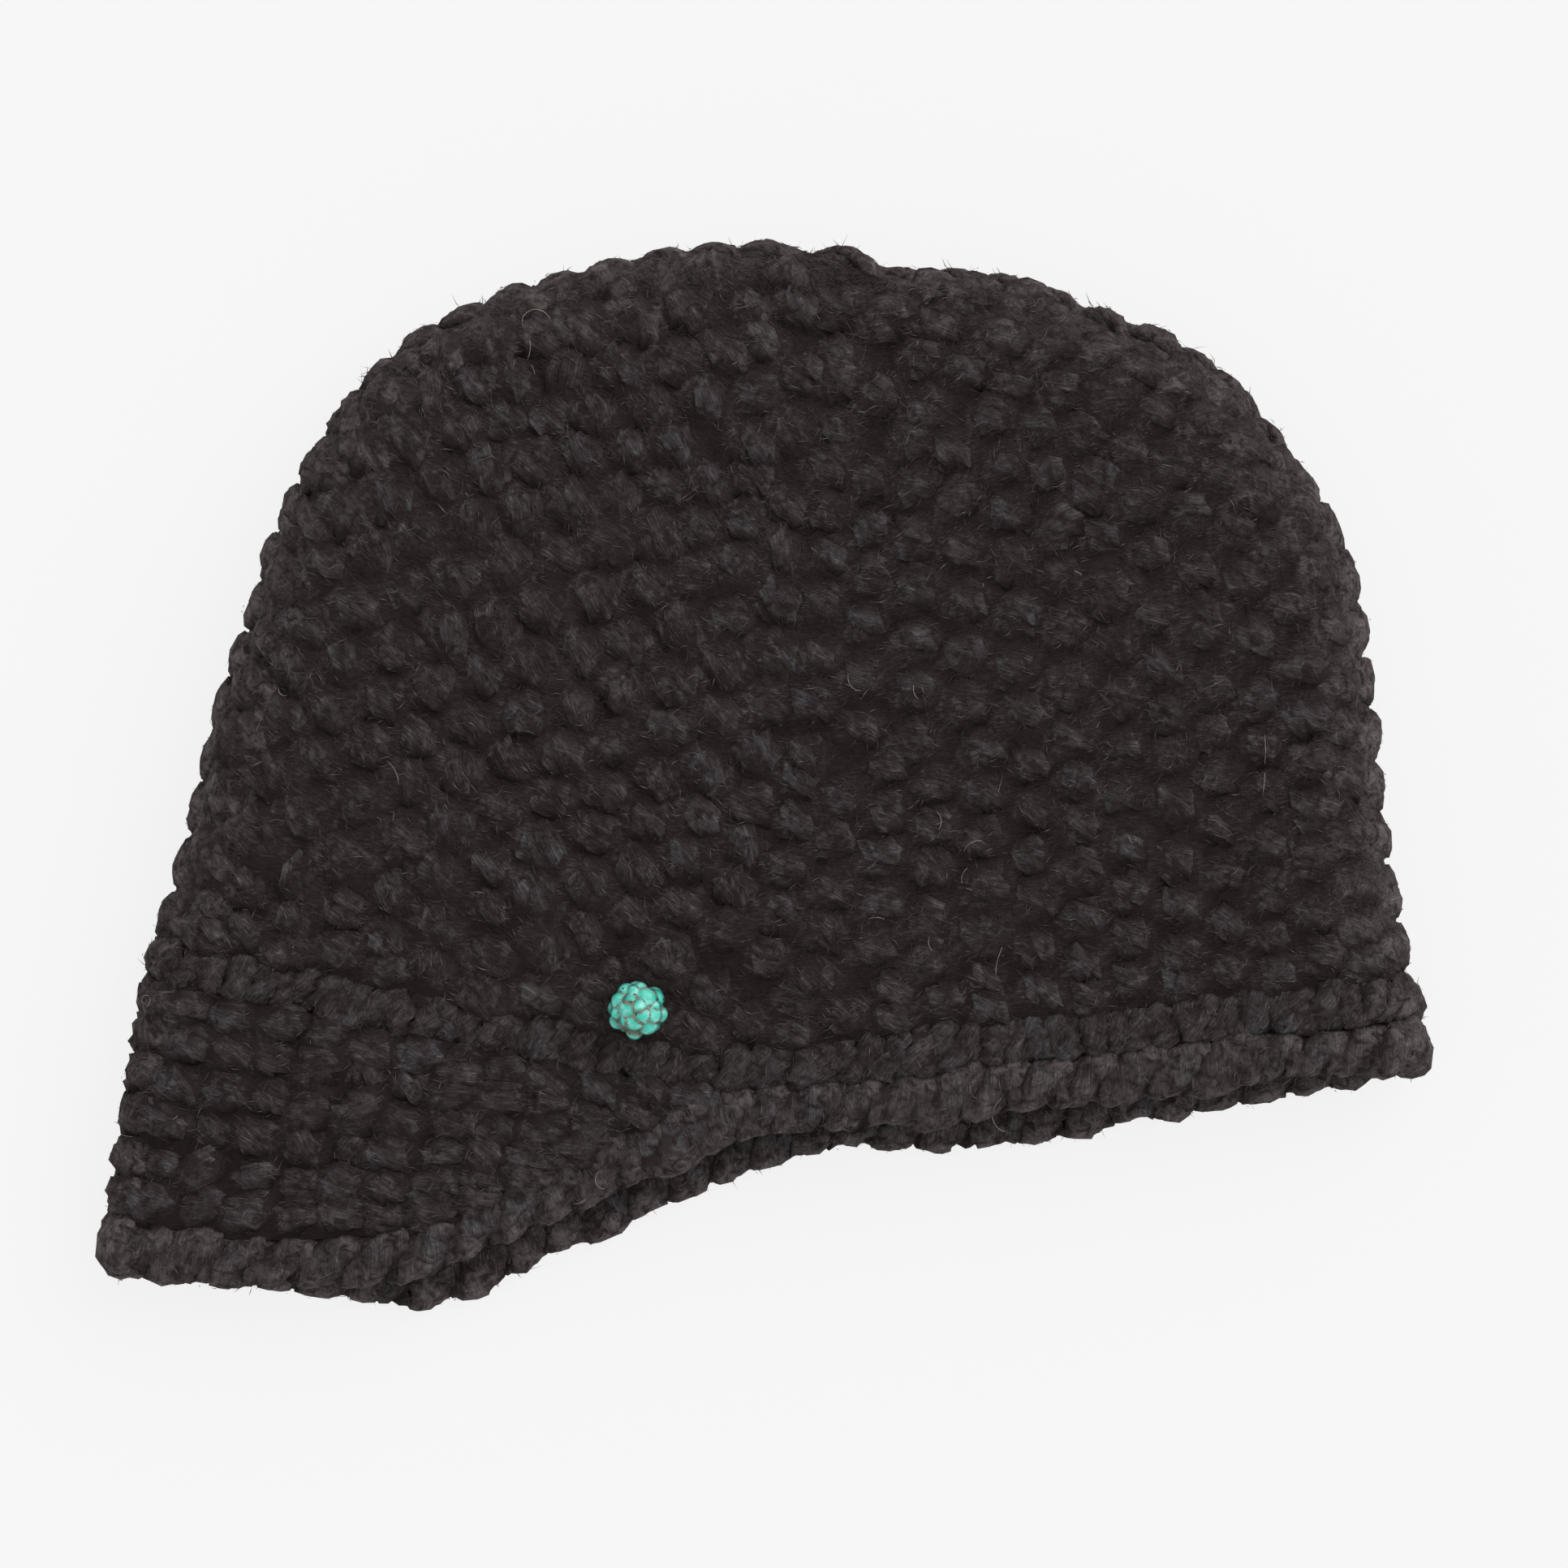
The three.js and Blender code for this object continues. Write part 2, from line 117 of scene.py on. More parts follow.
clothSteps, peakSteps = (0.3, 0.004), (0.02, 0.01)  # in rows and turns, to measure directions over


def between(rows, key, column, at):  # a smooth curve through one column of a table
    keys, values = rows[key], rows[column]
    at = np.asarray(at, float)
    steps = np.diff(values) / np.diff(keys)
    inner = (values[2:] - values[:-2]) / (keys[2:] - keys[:-2])
    slopes = np.concatenate([steps[:1], inner, steps[-1:]])
    i = np.clip(np.searchsorted(keys, at, side="right") - 1, 0, len(keys) - 2)
    span = keys[i + 1] - keys[i]
    t = (at - keys[i]) / span
    start = (2 * t**3 - 3 * t**2 + 1) * values[i] + (t**3 - 2 * t**2 + t) * span * slopes[i]
    end = (3 * t**2 - 2 * t**3) * values[i + 1] + (t**3 - t**2) * span * slopes[i + 1]
    return np.where(t < 0, values[i] + slopes[i] * t * span, start + end)


def smoothStep(x, low, high):
    t = np.clip((x - low) / (high - low), 0, 1)
    return t * t * (3 - 2 * t)


def planPoint(fold, middle, otherFold, share):  # place on a round, from one fold to the middle
    start = 1 - cloth["middleRound"]
    t = ((share - start) / (2 * cloth["middleRound"]))[..., None]
    near = fold + (middle - fold) * start
    far = otherFold + (middle - otherFold) * start
    straight = fold + (middle - fold) * share[..., None]
    turned = near * (1 - t) ** 2 + middle * 2 * t * (1 - t) + far * t**2
    return np.where((share <= start)[..., None], straight, turned)


def roundLength(row, fromLeft):  # length of cloth from a fold to the middle of a layer
    at = lambda column: between(rounds, "row", column, row)
    foldX = np.where(fromLeft, at("leftX"), at("rightX"))
    foldY = np.where(fromLeft, at("leftY"), at("rightY"))
    length = np.maximum(np.hypot(foldX - at("midX"), foldY - at("midY")), 0.001)
    roll = np.minimum(at("roll"), length)
    rollArc = math.pi / 2 * np.sqrt((roll**2 + (at("top") - at("fold")) ** 2) / 2)
    return length, roll, rollArc


def clothPoint(row, turn):  # turn 0 left fold, 0.25 upper middle, 0.5 right fold, 0.75 lower middle
    row, turn = np.broadcast_arrays(np.asarray(row, float), np.asarray(turn, float))
    at = lambda column: between(rounds, "row", column, row)
    wrapped = turn - np.floor(turn)
    upper = wrapped <= 0.5
    across = np.where(upper, wrapped, 1 - wrapped) * 4
    fromLeft = across <= 1
    left = np.stack([at("leftX"), at("leftY")], -1)
    middle = np.stack([at("midX"), at("midY")], -1)
    right = np.stack([at("rightX"), at("rightY")], -1)
    fold = np.where(fromLeft[..., None], left, right)
    otherFold = np.where(fromLeft[..., None], right, left)
    part = np.where(fromLeft, across, 2 - across)
    length, roll, rollArc = roundLength(row, fromLeft)
    along = part * (rollArc + length - roll)
    angle = np.minimum(along / rollArc, 1) * (math.pi / 2)
    distance = np.where(along < rollArc, roll * (1 - np.cos(angle)), roll + along - rollArc)
    share = np.minimum(distance / length, 1)
    plan = planPoint(fold, middle, otherFold, share)
    rise = at("top") - at("fold")
    upperZ = at("fold") + rise * np.sin(angle) * (1 - cloth["upperSag"] * (1 - share) ** 2)
    lowerZ = at("fold") - (at("fold") - at("base")) * np.sin(angle)
    fade = 1 - smoothStep(row, 0, cloth["dropFadeRow"])
    drop = between(lowerDrop, "x", "drop", plan[..., 0]) * fade * np.sin(angle)
    y = plan[..., 1] - np.where(upper, 0, drop)
    return np.stack([plan[..., 0], y, np.maximum(np.where(upper, upperZ, lowerZ), 0)], -1)


def peakPoint(row, side):  # side -1 end on the lower layer, 0 the fold, 1 end on the upper layer
    row, side = np.broadcast_arrays(np.asarray(row, float), np.asarray(side, float))
    at = lambda column: between(peakRows, "row", column, row)
    point = clothPoint(cloth["hemRow"] - cloth["seamGap"] / cloth["rowHeight"], side / 4)
    share = np.abs(side)
    x = point[..., 0] + at("foldX") + (at("sideX") - at("foldX")) * share
    y = point[..., 1] + at("foldY") + (at("sideY") - at("foldY")) * share
    y = y - at("sag") * 4 * share * (1 - share)
    lowerShift = cloth["cornerShiftX"] * share * row / cloth["peakRibs"]
    x = x + np.where(side < 0, lowerShift, 0)
    return np.stack([x, y, point[..., 2] * at("height")], -1)


def unit(vectors):
    return vectors / np.maximum(np.linalg.norm(vectors, axis=-1, keepdims=True), 1e-9)


def lengthAlong(line):  # millimetres from the start of a line of points to each of them
    return np.concatenate([[0], np.cumsum(np.linalg.norm(np.diff(line, axis=0), axis=1))])


def evenly(run, count, values):  # the values at evenly spaced places on a line
    return np.interp((np.arange(count) + 0.5) * run[-1] / count, run, values)


def frameOf(surface, a, b, stepA, stepB, facing=1):  # outward, along the round and up the cloth
    up = unit(surface(a + stepA, b) - surface(a - stepA, b)) * facing
    across = unit(surface(a, b + stepB) - surface(a, b - stepB))
    outward = unit(np.cross(across, up))
    return outward, across, up


def clothOutward(row, turn):  # away from the cloth, also at the pole
    outward = frameOf(clothPoint, np.minimum(row, cloth["soundRow"]), turn, *clothSteps)[0]
    outward[row > cloth["tipRow"]] = (0, 1, 0)
    return outward


def peakOutward(row, side):
    return frameOf(peakPoint, row, side, *peakSteps, -1)[0]


# Yarn: every stitch is a short length of plied yarn that comes out of the cloth, arches and goes back

yarnLook = {
    "fall": 4.0,  # millimetres from the top of a stitch down to the darkest painted crevice shade
    "plyShare": {1: 0.0, 2: 0.3, 3: 0.28},  # how far each ply's middle lies from the yarn's, of its radius
    "lumps": 0.12,  # unevenness of the spinning, of the ply's radius
    "arch": 2.3,  # how flat a stitch is on top before it dives into the cloth
    "turnSpread": (0.85, 1.15),
    "sizeSpread": 0.06,
}


def strandMesh(paths, outward, radius, look, turns, phase, tone):
    # paths: strand, ring, xyz. outward: the same, or one for each strand. radius: strand, ring
    plies, sides, flat = look["plies"], look["sides"], look["flat"]
    count, rings = paths.shape[:2]
    along = unit(np.gradient(paths, axis=1))
    if outward.ndim == 2:
        outward = np.repeat(outward[:, None, :], rings, axis=1)
    normal = unit(outward - along * np.sum(outward * along, -1, keepdims=True))
    beside = np.cross(along, normal)
    t = np.linspace(0, 1, rings)
    plyShare = yarnLook["plyShare"][plies]
    lumps = look.get("lumps", yarnLook["lumps"])
    plyRadius = 1 + random.normal(0, lumps, (count, plies, rings, sides)) - plyShare
    theta = 2 * math.pi * np.arange(sides) / sides
    ply = 2 * math.pi * np.arange(plies) / plies
    swing = phase[:, None, None] + ply[None, :, None] + 2 * math.pi * turns[:, None, None] * t
    alongNormal = radius[:, None, :, None] * flat * (
        plyShare * np.cos(swing)[..., None] + plyRadius * np.cos(theta + swing[..., None])
    )
    alongBeside = radius[:, None, :, None] * (
        plyShare * np.sin(swing)[..., None] + plyRadius * np.sin(theta + swing[..., None])
    )
    offset = (
        alongNormal[..., None] * normal[:, None, :, None, :]
        + alongBeside[..., None] * beside[:, None, :, None, :]
    )
    points = paths[:, None, :, None, :] + offset
    drop = np.sum((paths - paths[:, rings // 2, None]) * normal, -1)  # of each ring below the arch's top
    depth = drop[:, None, :, None] + alongNormal - flat * radius[:, None, rings // 2, None, None]
    # lift: 1 on a stitch's top, 0 at fall below it; the materials paint shade by it, so low sides and
    # diving ends are painted dark
    lift = np.clip(1 + depth / look.get("fall", yarnLook["fall"]), 0, 1)
    tones = np.broadcast_to(tone[:, None, None, None], lift.shape)
    tilt = np.hypot(outward[..., 0], outward[..., 1])  # 1 where the cloth stands on edge at a fold, where the materials paint rim light

    k, s = np.meshgrid(np.arange(rings - 1), np.arange(sides), indexing="ij")
    k, s = k.ravel(), s.ravel()
    nextS = (s + 1) % sides
    quad = np.stack([k * sides + s, k * sides + nextS, (k + 1) * sides + nextS, (k + 1) * sides + s], -1)
    caps = np.stack([np.arange(sides)[::-1], (rings - 1) * sides + np.arange(sides)])
    bases = np.arange(count * plies) * rings * sides
    quads = (bases[:, None, None] + quad).reshape(-1, 4)
    ends = (bases[:, None, None] + caps).reshape(-1, sides)

    # the fibre pattern's own map: millimetres round the ply and along it, shifted strand by strand
    length = np.linalg.norm(np.diff(paths, axis=1), axis=-1).sum(1)
    girth = 2 * math.pi * (1 - plyShare) * radius.mean(1)
    shift = random.uniform(0, 500, (count, plies, 2))
    quadU = np.stack([s, s + 1, s + 1, s], -1) / sides
    quadV = np.stack([k, k, k + 1, k + 1], -1) / (rings - 1)
    u = quadU * girth[:, None, None, None] + shift[..., 0][..., None, None]
    v = quadV * length[:, None, None, None] + shift[..., 1][..., None, None]
    quadUv = np.stack([u, v], -1).reshape(-1, 2)
    endUv = np.repeat(shift.reshape(-1, 1, 2), 2 * sides, axis=1).reshape(-1, 2)
    return {
        "points": points.reshape(-1, 3),
        "faces": [quads, ends],
        "uv": [quadUv, endUv],
        "lift": lift.ravel(),
        "tone": tones.ravel(),
        "rim": np.broadcast_to(tilt[:, None, :, None], lift.shape).ravel(),
        "facing": unit(offset + normal[:, None, :, None, :]).reshape(-1, 3),
        "along": np.broadcast_to(along[:, None, :, None, :], points.shape).reshape(-1, 3),
        "path": paths.reshape(-1, 3),
        "reach": radius.ravel(),
        "thick": flat * radius.ravel(),
        "sink": drop.ravel(),
        "grain": along.reshape(-1, 3),
    }


def addValues(mesh, name, values):  # one for each vertex, for the materials to read
    mesh.attributes.new(name, "FLOAT", "POINT").data.foreach_set("value", values.astype(np.float32))


def editAll(change, **settings):  # an edit of the whole of the active mesh
    bpy.ops.object.mode_set(mode="EDIT")
    bpy.ops.mesh.select_all(action="SELECT")
    change(**settings)
    bpy.ops.object.mode_set(mode="OBJECT")


def joinedMesh(name, parts, material, onTable=True):  # one object from several sets of strands
    points = np.concatenate([part["points"] for part in parts])
    if onTable:
        points[:, 2] = np.maximum(points[:, 2], 0.0)
    place = (points + planShift) * millimetre
    corners, sizes, uv = [], [], []
    base = 0
    for part in parts:
        for faces, faceUv in zip(part["faces"], part["uv"]):
            corners.append((faces + base).ravel())
            sizes.append(np.full(len(faces), faces.shape[1]))
            uv.append(faceUv)
        base += len(part["points"])
    corners, sizes, uv = np.concatenate(corners), np.concatenate(sizes), np.concatenate(uv)
    mesh = bpy.data.meshes.new(name)
    mesh.vertices.add(len(place))
    mesh.vertices.foreach_set("co", place.astype(np.float32).ravel())
    mesh.loops.add(len(corners))
    mesh.loops.foreach_set("vertex_index", corners.astype(np.int32))
    mesh.polygons.add(len(sizes))
    mesh.polygons.foreach_set("loop_start", (np.cumsum(sizes) - sizes).astype(np.int32))
    mesh.update(calc_edges=True)
    layer = mesh.uv_layers.new(name="strand")
    layer.data.foreach_set("uv", (uv / uvMillimetres).astype(np.float32).ravel())
    for key in ("lift", "tone", "rim"):
        addValues(mesh, key, np.concatenate([part[key] for part in parts]))
    mesh.validate()
    mesh.shade_smooth()
    piece = bpy.data.objects.new(name, mesh)
    bpy.context.scene.collection.objects.link(piece)
    mesh.materials.append(material)
    triangles = int((sizes - 2).sum())
    print(f"{name}: {triangles} triangles")
    return piece


def stitches(centres, outward, across, up, look, angle, size, stretch):
    # one arched length of yarn at each centre, leaning by angle from the round towards the column
    count = len(centres)
    u = np.linspace(-1, 1, look["rings"])
    axis = np.cos(angle)[:, None] * across + np.sin(angle)[:, None] * up
    half = look["length"] / 2 * size * stretch
    paths = (
        centres[:, None, :]
        + axis[:, None, :] * (u[None, :, None] * half[:, None, None])
        - outward[:, None, :] * (look["dive"] * np.abs(u) ** yarnLook["arch"])[None, :, None]
    )
    radius = look["radius"] * size[:, None] * (1 - look["taper"] * np.abs(u) ** 3)[None, :]
    turns = look["turns"] * random.uniform(*yarnLook["turnSpread"], count)
    phase = random.uniform(0, 2 * math.pi, count)
    return strandMesh(paths, outward, radius, look, turns, phase, random.uniform(0, 1, count))


# Colours and materials

def linear(hexColour):  # an sRGB hex value as Blender's linear colour
    channels = [int(hexColour[i : i + 2], 16) / 255 for i in (1, 3, 5)]
    return [c / 12.92 if c <= 0.04045 else ((c + 0.055) / 1.055) ** 2.4 for c in channels] + [1.0]


def addNode(tree, kind, settings=None, links=None):
    node = tree.nodes.new(kind)
    for key, value in (settings or {}).items():
        if isinstance(key, int) or key in node.inputs:
            node.inputs[key].default_value = value
        else:
            setattr(node, key, value)
    for key, socket in (links or {}).items():
        tree.links.new(socket, node.inputs[key])
    return node


woolLook = {
    # painted shade: the colours of the same wool where it lies deep in the crevices between stitches
    "creviceShade": "#2a2121",
    "creviceShadeFibre": "#392f2f",
    "body": "#443b3b",
    "top": "#564e4e",
    # painted sheen: a cool tint for the stitches' tops
    "cool": "#4f565b",
    "fibre": "#938b8b",
    # painted rim light: the colour that the wool turns to where the cloth stands on edge
    "rim": "#746b6b",
    "fibreWidth": 0.36,  # millimetres across a lock of fibres, drawn coarse enough to show
    "fibreLength": 2.6,
    "ends": 0.7143,  # millimetres from one fibre end to the next, again drawn coarse
    "tufts": 2.381,  # millimetres across a tuft of worn fibres
    "patches": 11.111,  # and across a patch where the wool is greyer
    "bump": 1.2,
    "darkBelow": 0.45,  # lift at which the painted crevice shade is as dark as it gets
    "roundness": 2.1,  # how fast the painted light on the tops fades to the painted shade of the crevices
    "rimLight": 0.7,  # painted rim light: how light even the crevices are painted where the cloth stands on edge
}


def paintedLightShare(tree):  # painted light and shade: 0 in the crevices between stitches, 1 on their tops, and lighter where the cloth stands on edge
    share = ranged(tree, attribute(tree, "lift"), woolLook["darkBelow"], 1.0)
    height = maths(tree, "POWER", share, woolLook["roundness"])
    shown = ranged(tree, attribute(tree, "rim"), 0.3, 1.0, woolLook["rimLight"])
    return maths(tree, "MAXIMUM", height, shown)


def perMetre(millimetres):  # how many of a pattern's repeats a metre holds
    return 1 / (millimetres * millimetre)


def ranged(tree, value, low, high, most=1.0):  # a value's share of the way from low to high
    node = addNode(
        tree, "ShaderNodeMapRange", {"From Min": low, "From Max": high, "To Max": most}, {"Value": value}
    )
    return node.outputs["Result"]


def noise(tree, vector, scale, detail=3.0, roughness=0.5, distortion=0.0):
    node = addNode(
        tree, "ShaderNodeTexNoise",
        {"Scale": scale, "Detail": detail, "Roughness": roughness, "Distortion": distortion},
        {"Vector": vector},
    )
    return node.outputs["Fac"]


def plug(tree, value, socket):  # another node's output, or a plain value
    if isinstance(value, bpy.types.NodeSocket):
        tree.links.new(value, socket)
    else:
        socket.default_value = value


def maths(tree, operation, *values):
    node = addNode(tree, "ShaderNodeMath", {"operation": operation})
    for value, socket in zip(values, node.inputs):
        plug(tree, value, socket)
    return node.outputs[0]


def attribute(tree, name):
    return addNode(tree, "ShaderNodeAttribute", {"attribute_name": name}).outputs["Fac"]


def mixColour(tree, amount, first, second):
    mix = addNode(tree, "ShaderNodeMix", {"data_type": "RGBA"})
    for i, value in ((0, amount), (6, first), (7, second)):
        plug(tree, value, mix.inputs[i])
    return mix.outputs[2]


def addBump(tree, shader, height, strength, depth):  # relief with a real depth in millimetres
    settings = {"Strength": strength, "Distance": depth * millimetre}
    bump = addNode(tree, "ShaderNodeBump", settings, {"Height": height})
    tree.links.new(bump.outputs["Normal"], shader.inputs["Normal"])


def newMaterial(name, roughness, refraction, settings=None):
    material = bpy.data.materials.new(name)
    material.use_nodes = True
    shader = material.node_tree.nodes["Principled BSDF"]
    for key, value in {"Roughness": roughness, "IOR": refraction, **(settings or {})}.items():
        shader.inputs[key].default_value = value
    return material, material.node_tree, shader


def woolMaterial():
    # Wool, spun and plied, then crocheted: matte, with fibre streaks painted only on the lit tops, painted
    # shade in the crevices, a painted sheen on the tops and painted rim light where the cloth stands on
    # edge
    gloss = {
        "Specular IOR Level": 0.08,
        "Sheen Weight": 0.06,
        "Sheen Roughness": 0.45,
        "Sheen Tint": linear("#e4cccc"),
    }
    material, tree, shader = newMaterial("plied_wool", 0.92, 1.53, gloss)
    strandUv = addNode(tree, "ShaderNodeUVMap", {"uv_map": "strand"})
    perLock = (uvMillimetres / woolLook["fibreWidth"], uvMillimetres / woolLook["fibreLength"], 1)
    stretched = addNode(
        tree, "ShaderNodeMapping", {"Scale": perLock}, {"Vector": strandUv.outputs["UV"]}
    )
    fibres = noise(tree, stretched.outputs["Vector"], 1.0, 4.0, 0.62, 0.6)
    place = addNode(tree, "ShaderNodeTexCoord").outputs["Object"]
    ends = noise(tree, place, perMetre(woolLook["ends"]), 3.0, 0.7)
    patches = noise(tree, place, perMetre(woolLook["patches"]), 2.0)
    tufts = noise(tree, place, perMetre(woolLook["tufts"]), 4.0, 0.65, 0.8)
    height = paintedLightShare(tree)
    patched = mixColour(
        tree, ranged(tree, patches, 0.38, 0.68), linear(woolLook["body"]), linear(woolLook["top"])
    )
    # painted sheen: a cool tint on the tops of the stitches, stronger on some stitches than others by their
    # random tone
    sheenOnTops = maths(tree, "MULTIPLY", height, ranged(tree, attribute(tree, "tone"), 0.2, 1.0, 0.85))
    withSheen = mixColour(tree, sheenOnTops, patched, linear(woolLook["cool"]))
    # painted rim light: the wool is painted lighter where the cloth stands on edge
    onEdge = ranged(tree, attribute(tree, "rim"), 0.05, 0.85, 0.95)
    rimLit = mixColour(tree, onEdge, withSheen, linear(woolLook["rim"]))
    streaked = mixColour(tree, ranged(tree, fibres, 0.46, 0.74, 0.9), rimLit, linear(woolLook["fibre"]))
    # painted shade: the crevice colour, streaked with dimmer fibres
    below = mixColour(
        tree, ranged(tree, fibres, 0.42, 0.7), linear(woolLook["creviceShade"]), linear(woolLook["creviceShadeFibre"])
    )
    # painted light and shade: the lit colours show on the stitches' tops, mottled by the tufts, and fade to
    # the painted crevice shade
    lit = maths(tree, "MULTIPLY", height, ranged(tree, tufts, 0.36, 0.64))
    tree.links.new(mixColour(tree, lit, below, streaked), shader.inputs["Base Color"])
    relief = maths(tree, "MULTIPLY_ADD", tufts, 2.0, maths(tree, "ADD", fibres, ends))
    addBump(tree, shader, relief, 1.0, woolLook["bump"])
    return material


# The crown's stitches: columns counted from the two folds, staggered by half a stitch

crownYarn = {
    "length": 10.8,
    "radius": 4.9,
    "rise": 9.2,  # height of the full row that a stitch of this size fills
    "pitch": 9.6,  # and the width of its column
    "flat": 0.54,
    "plies": 3,
    "turns": 0.35,
    "rings": 8,
    "sides": 6,
    "dive": 3.0,
    "taper": 0.4,
    "depth": 2.0,  # of the yarn's middle below the cloth's outer face
    "slant": {"left": (-4.0, 18.0), "right": (4.0, 9.0)},  # degrees up from the round, and their spread
    "stretch": {"left": 1.0, "right": 0.87},  # the right half's columns stand apart
    "jitter": 0.42,
    "sizes": (0.9, 1.3),  # the least and the most that a stitch is scaled to fill its place
    "middleClear": 0.2,  # widths of a stitch that stay free before the middle of the layer
}
foldYarn = {
    "length": 15.0,
    "radius": 5.8,
    "flat": 0.48,
    "plies": 3,
    "turns": 0.35,
    "rings": 13,
    "sides": 10,
    "dive": 4.4,
    "taper": 0.45,
    "depth": 2.1,
    "jitter": 0.25,
    "pitch": 11.0,
    "lumps": 0.05,
    "clear": 0.88,  # widths of a stitch that the rounds keep free of other stitches at each fold
    "lowerClear": 1.2,
    "poleClear": 0.5,  # and how much more where the rounds lean in to the pole
    "poleRows": (22, 28),
    "start": 0.4,
    "slant": (10.0, 75.0),  # degrees, low on the fold and high on it, with their spread
    "slantRows": (17, 23),
    "slantSpread": 8.0,
}


def columnStart(fromLeft):
    # columns run square to the rounds, so high up, where the fold leans over them, they end at the fold
    row = np.linspace(0, cloth["halfRows"], 281)
    at = lambda column: between(rounds, "row", column, row)
    side = "left" if fromLeft else "right"
    fold = np.stack([at(side + "X"), at(side + "Y")], -1)
    inward = unit(np.stack([at("midX"), at("midY")], -1) - fold)
    slide = np.sum(np.gradient(fold, row, axis=0) * inward, -1)
    return row, -np.concatenate([[0], np.cumsum(np.maximum(slide[1:], 0) * np.diff(row))])


columnStarts = {fromLeft: columnStart(fromLeft) for fromLeft in (True, False)}


def columnSites(row, column, upper, fromLeft):  # turn of a column's place on a round
    length, roll, rollArc = roundLength(row, np.full(row.shape, fromLeft))
    reach = rollArc + length - roll
    width = between(columnWidth, "row", "width", row)
    start = np.interp(row, *columnStarts[fromLeft])
    whole = np.round((reach - start) / width)
    spread = np.clip((column - whole + 1) / cloth["spreadColumns"] + 1, 0, 1)
    along = start + column * width + (reach - start - (whole - 0.5) * width) * spread
    part = along / reach
    turn = {
        (True, True): part / 4,
        (True, False): 0.5 - part / 4,
        (False, False): 0.5 + part / 4,
        (False, True): 1 - part / 4,
    }[(upper, fromLeft)]
    return turn, along, reach, width


def crownSites(upper):  # where the stitches of one layer lie
    found = []
    clear = foldYarn["clear"] if upper else foldYarn["lowerClear"]
    for fromLeft in (True, False):
        for halfRow in range(cloth["halfRows"]):
            row = np.array([max(halfRow + 0.5, 1.0)])
            for column in range(cloth["columns"]):
                if (halfRow + column) % 2:
                    continue
                place = column + np.array([-0.5, 0, 0.5])
                turn, along, reach, width = columnSites(np.repeat(row, 3), place, upper, fromLeft)
                nearPole = foldYarn["poleClear"] * smoothStep(row[0], *foldYarn["poleRows"])
                low, high = (clear + nearPole) * width[0], reach[0] - crownYarn["middleClear"] * width[0]
                if low < along[1] < high:
                    found.append((row[0], turn[1], float(fromLeft), along[2] - along[0]))
    return np.array(found)


def laid(surface, row, turn, steps, facing, yarn, angle, size=1.0, stretch=1.0):  # stitches on the cloth
    outward, across, up = frameOf(surface, row, turn, *steps, facing)
    jitter = random.normal(0, yarn["jitter"], (len(row), 3))
    centres = surface(row, turn) - outward * yarn["depth"]
    centres = centres + jitter[:, :1] * across + jitter[:, 1:2] * up + 0.5 * jitter[:, 2:] * outward
    size = size * random.normal(1.0, yarnLook["sizeSpread"], len(row))
    return stitches(centres, outward, across, up, yarn, np.radians(angle), size, stretch)


def crownStitches(upper, yarn):
    row, turn, fromLeft, pitch = crownSites(upper).T
    left, right = yarn["slant"]["left"], yarn["slant"]["right"]
    slant, spread = (np.where(fromLeft > 0, left[i], right[i]) for i in (0, 1))
    angle = slant + random.normal(0, 1, len(row)) * spread
    row = np.minimum(row, cloth["soundRow"])
    above, below = clothPoint(row + 0.5, turn), clothPoint(row - 0.5, turn)
    rise = 2 * np.linalg.norm(above - below, axis=-1)
    size = np.clip(np.maximum(rise / yarn["rise"], pitch / yarn["pitch"]), *yarn["sizes"])
    stretch = np.where(fromLeft > 0, yarn["stretch"]["left"], yarn["stretch"]["right"])
    return laid(clothPoint, row, turn, clothSteps, 1, yarn, angle, size, stretch)


def foldStitches():
    # stitches that wrap round the two folds, and lie along them where the rounds lean in to the pole
    parts = []
    for turn in (0.0, 0.5):
        fine = np.linspace(foldYarn["start"], cloth["halfRows"], 500)
        run = lengthAlong(clothPoint(fine, turn))
        count = int(run[-1] / foldYarn["pitch"])
        row = evenly(run, count, fine)
        low, high = foldYarn["slant"]
        angle = low + (high - low) * smoothStep(row, *foldYarn["slantRows"])
        angle = angle + random.normal(0, foldYarn["slantSpread"], count)
        parts.append(laid(clothPoint, row, np.full(count, turn), clothSteps, 1, foldYarn, angle))
    return parts


# A wall of cloth behind the stitches: a grid wrapped round the cap, then given its thickness

wallLook = {
    "mapSize": (45, 16),  # centimetres of the fibre pattern round the cap and up it
    "depth": 2.5,
    "thickness": 3.2,
    "size": 96,
    # painted shade: a lift so low that the wall is painted in the crevice shade
    "lift": 0.5,
}


def gridShares(name, columns, steps):  # a grid, with each vertex's share of the way across and up it
    bpy.ops.object.select_all(action="DESELECT")
    bpy.ops.mesh.primitive_grid_add(x_subdivisions=columns, y_subdivisions=steps, size=2)
    piece = bpy.context.active_object
    piece.name = name
    corner = np.zeros(len(piece.data.vertices) * 3)
    piece.data.vertices.foreach_get("co", corner)
    return piece, corner.reshape(-1, 3) / 2 + 0.5


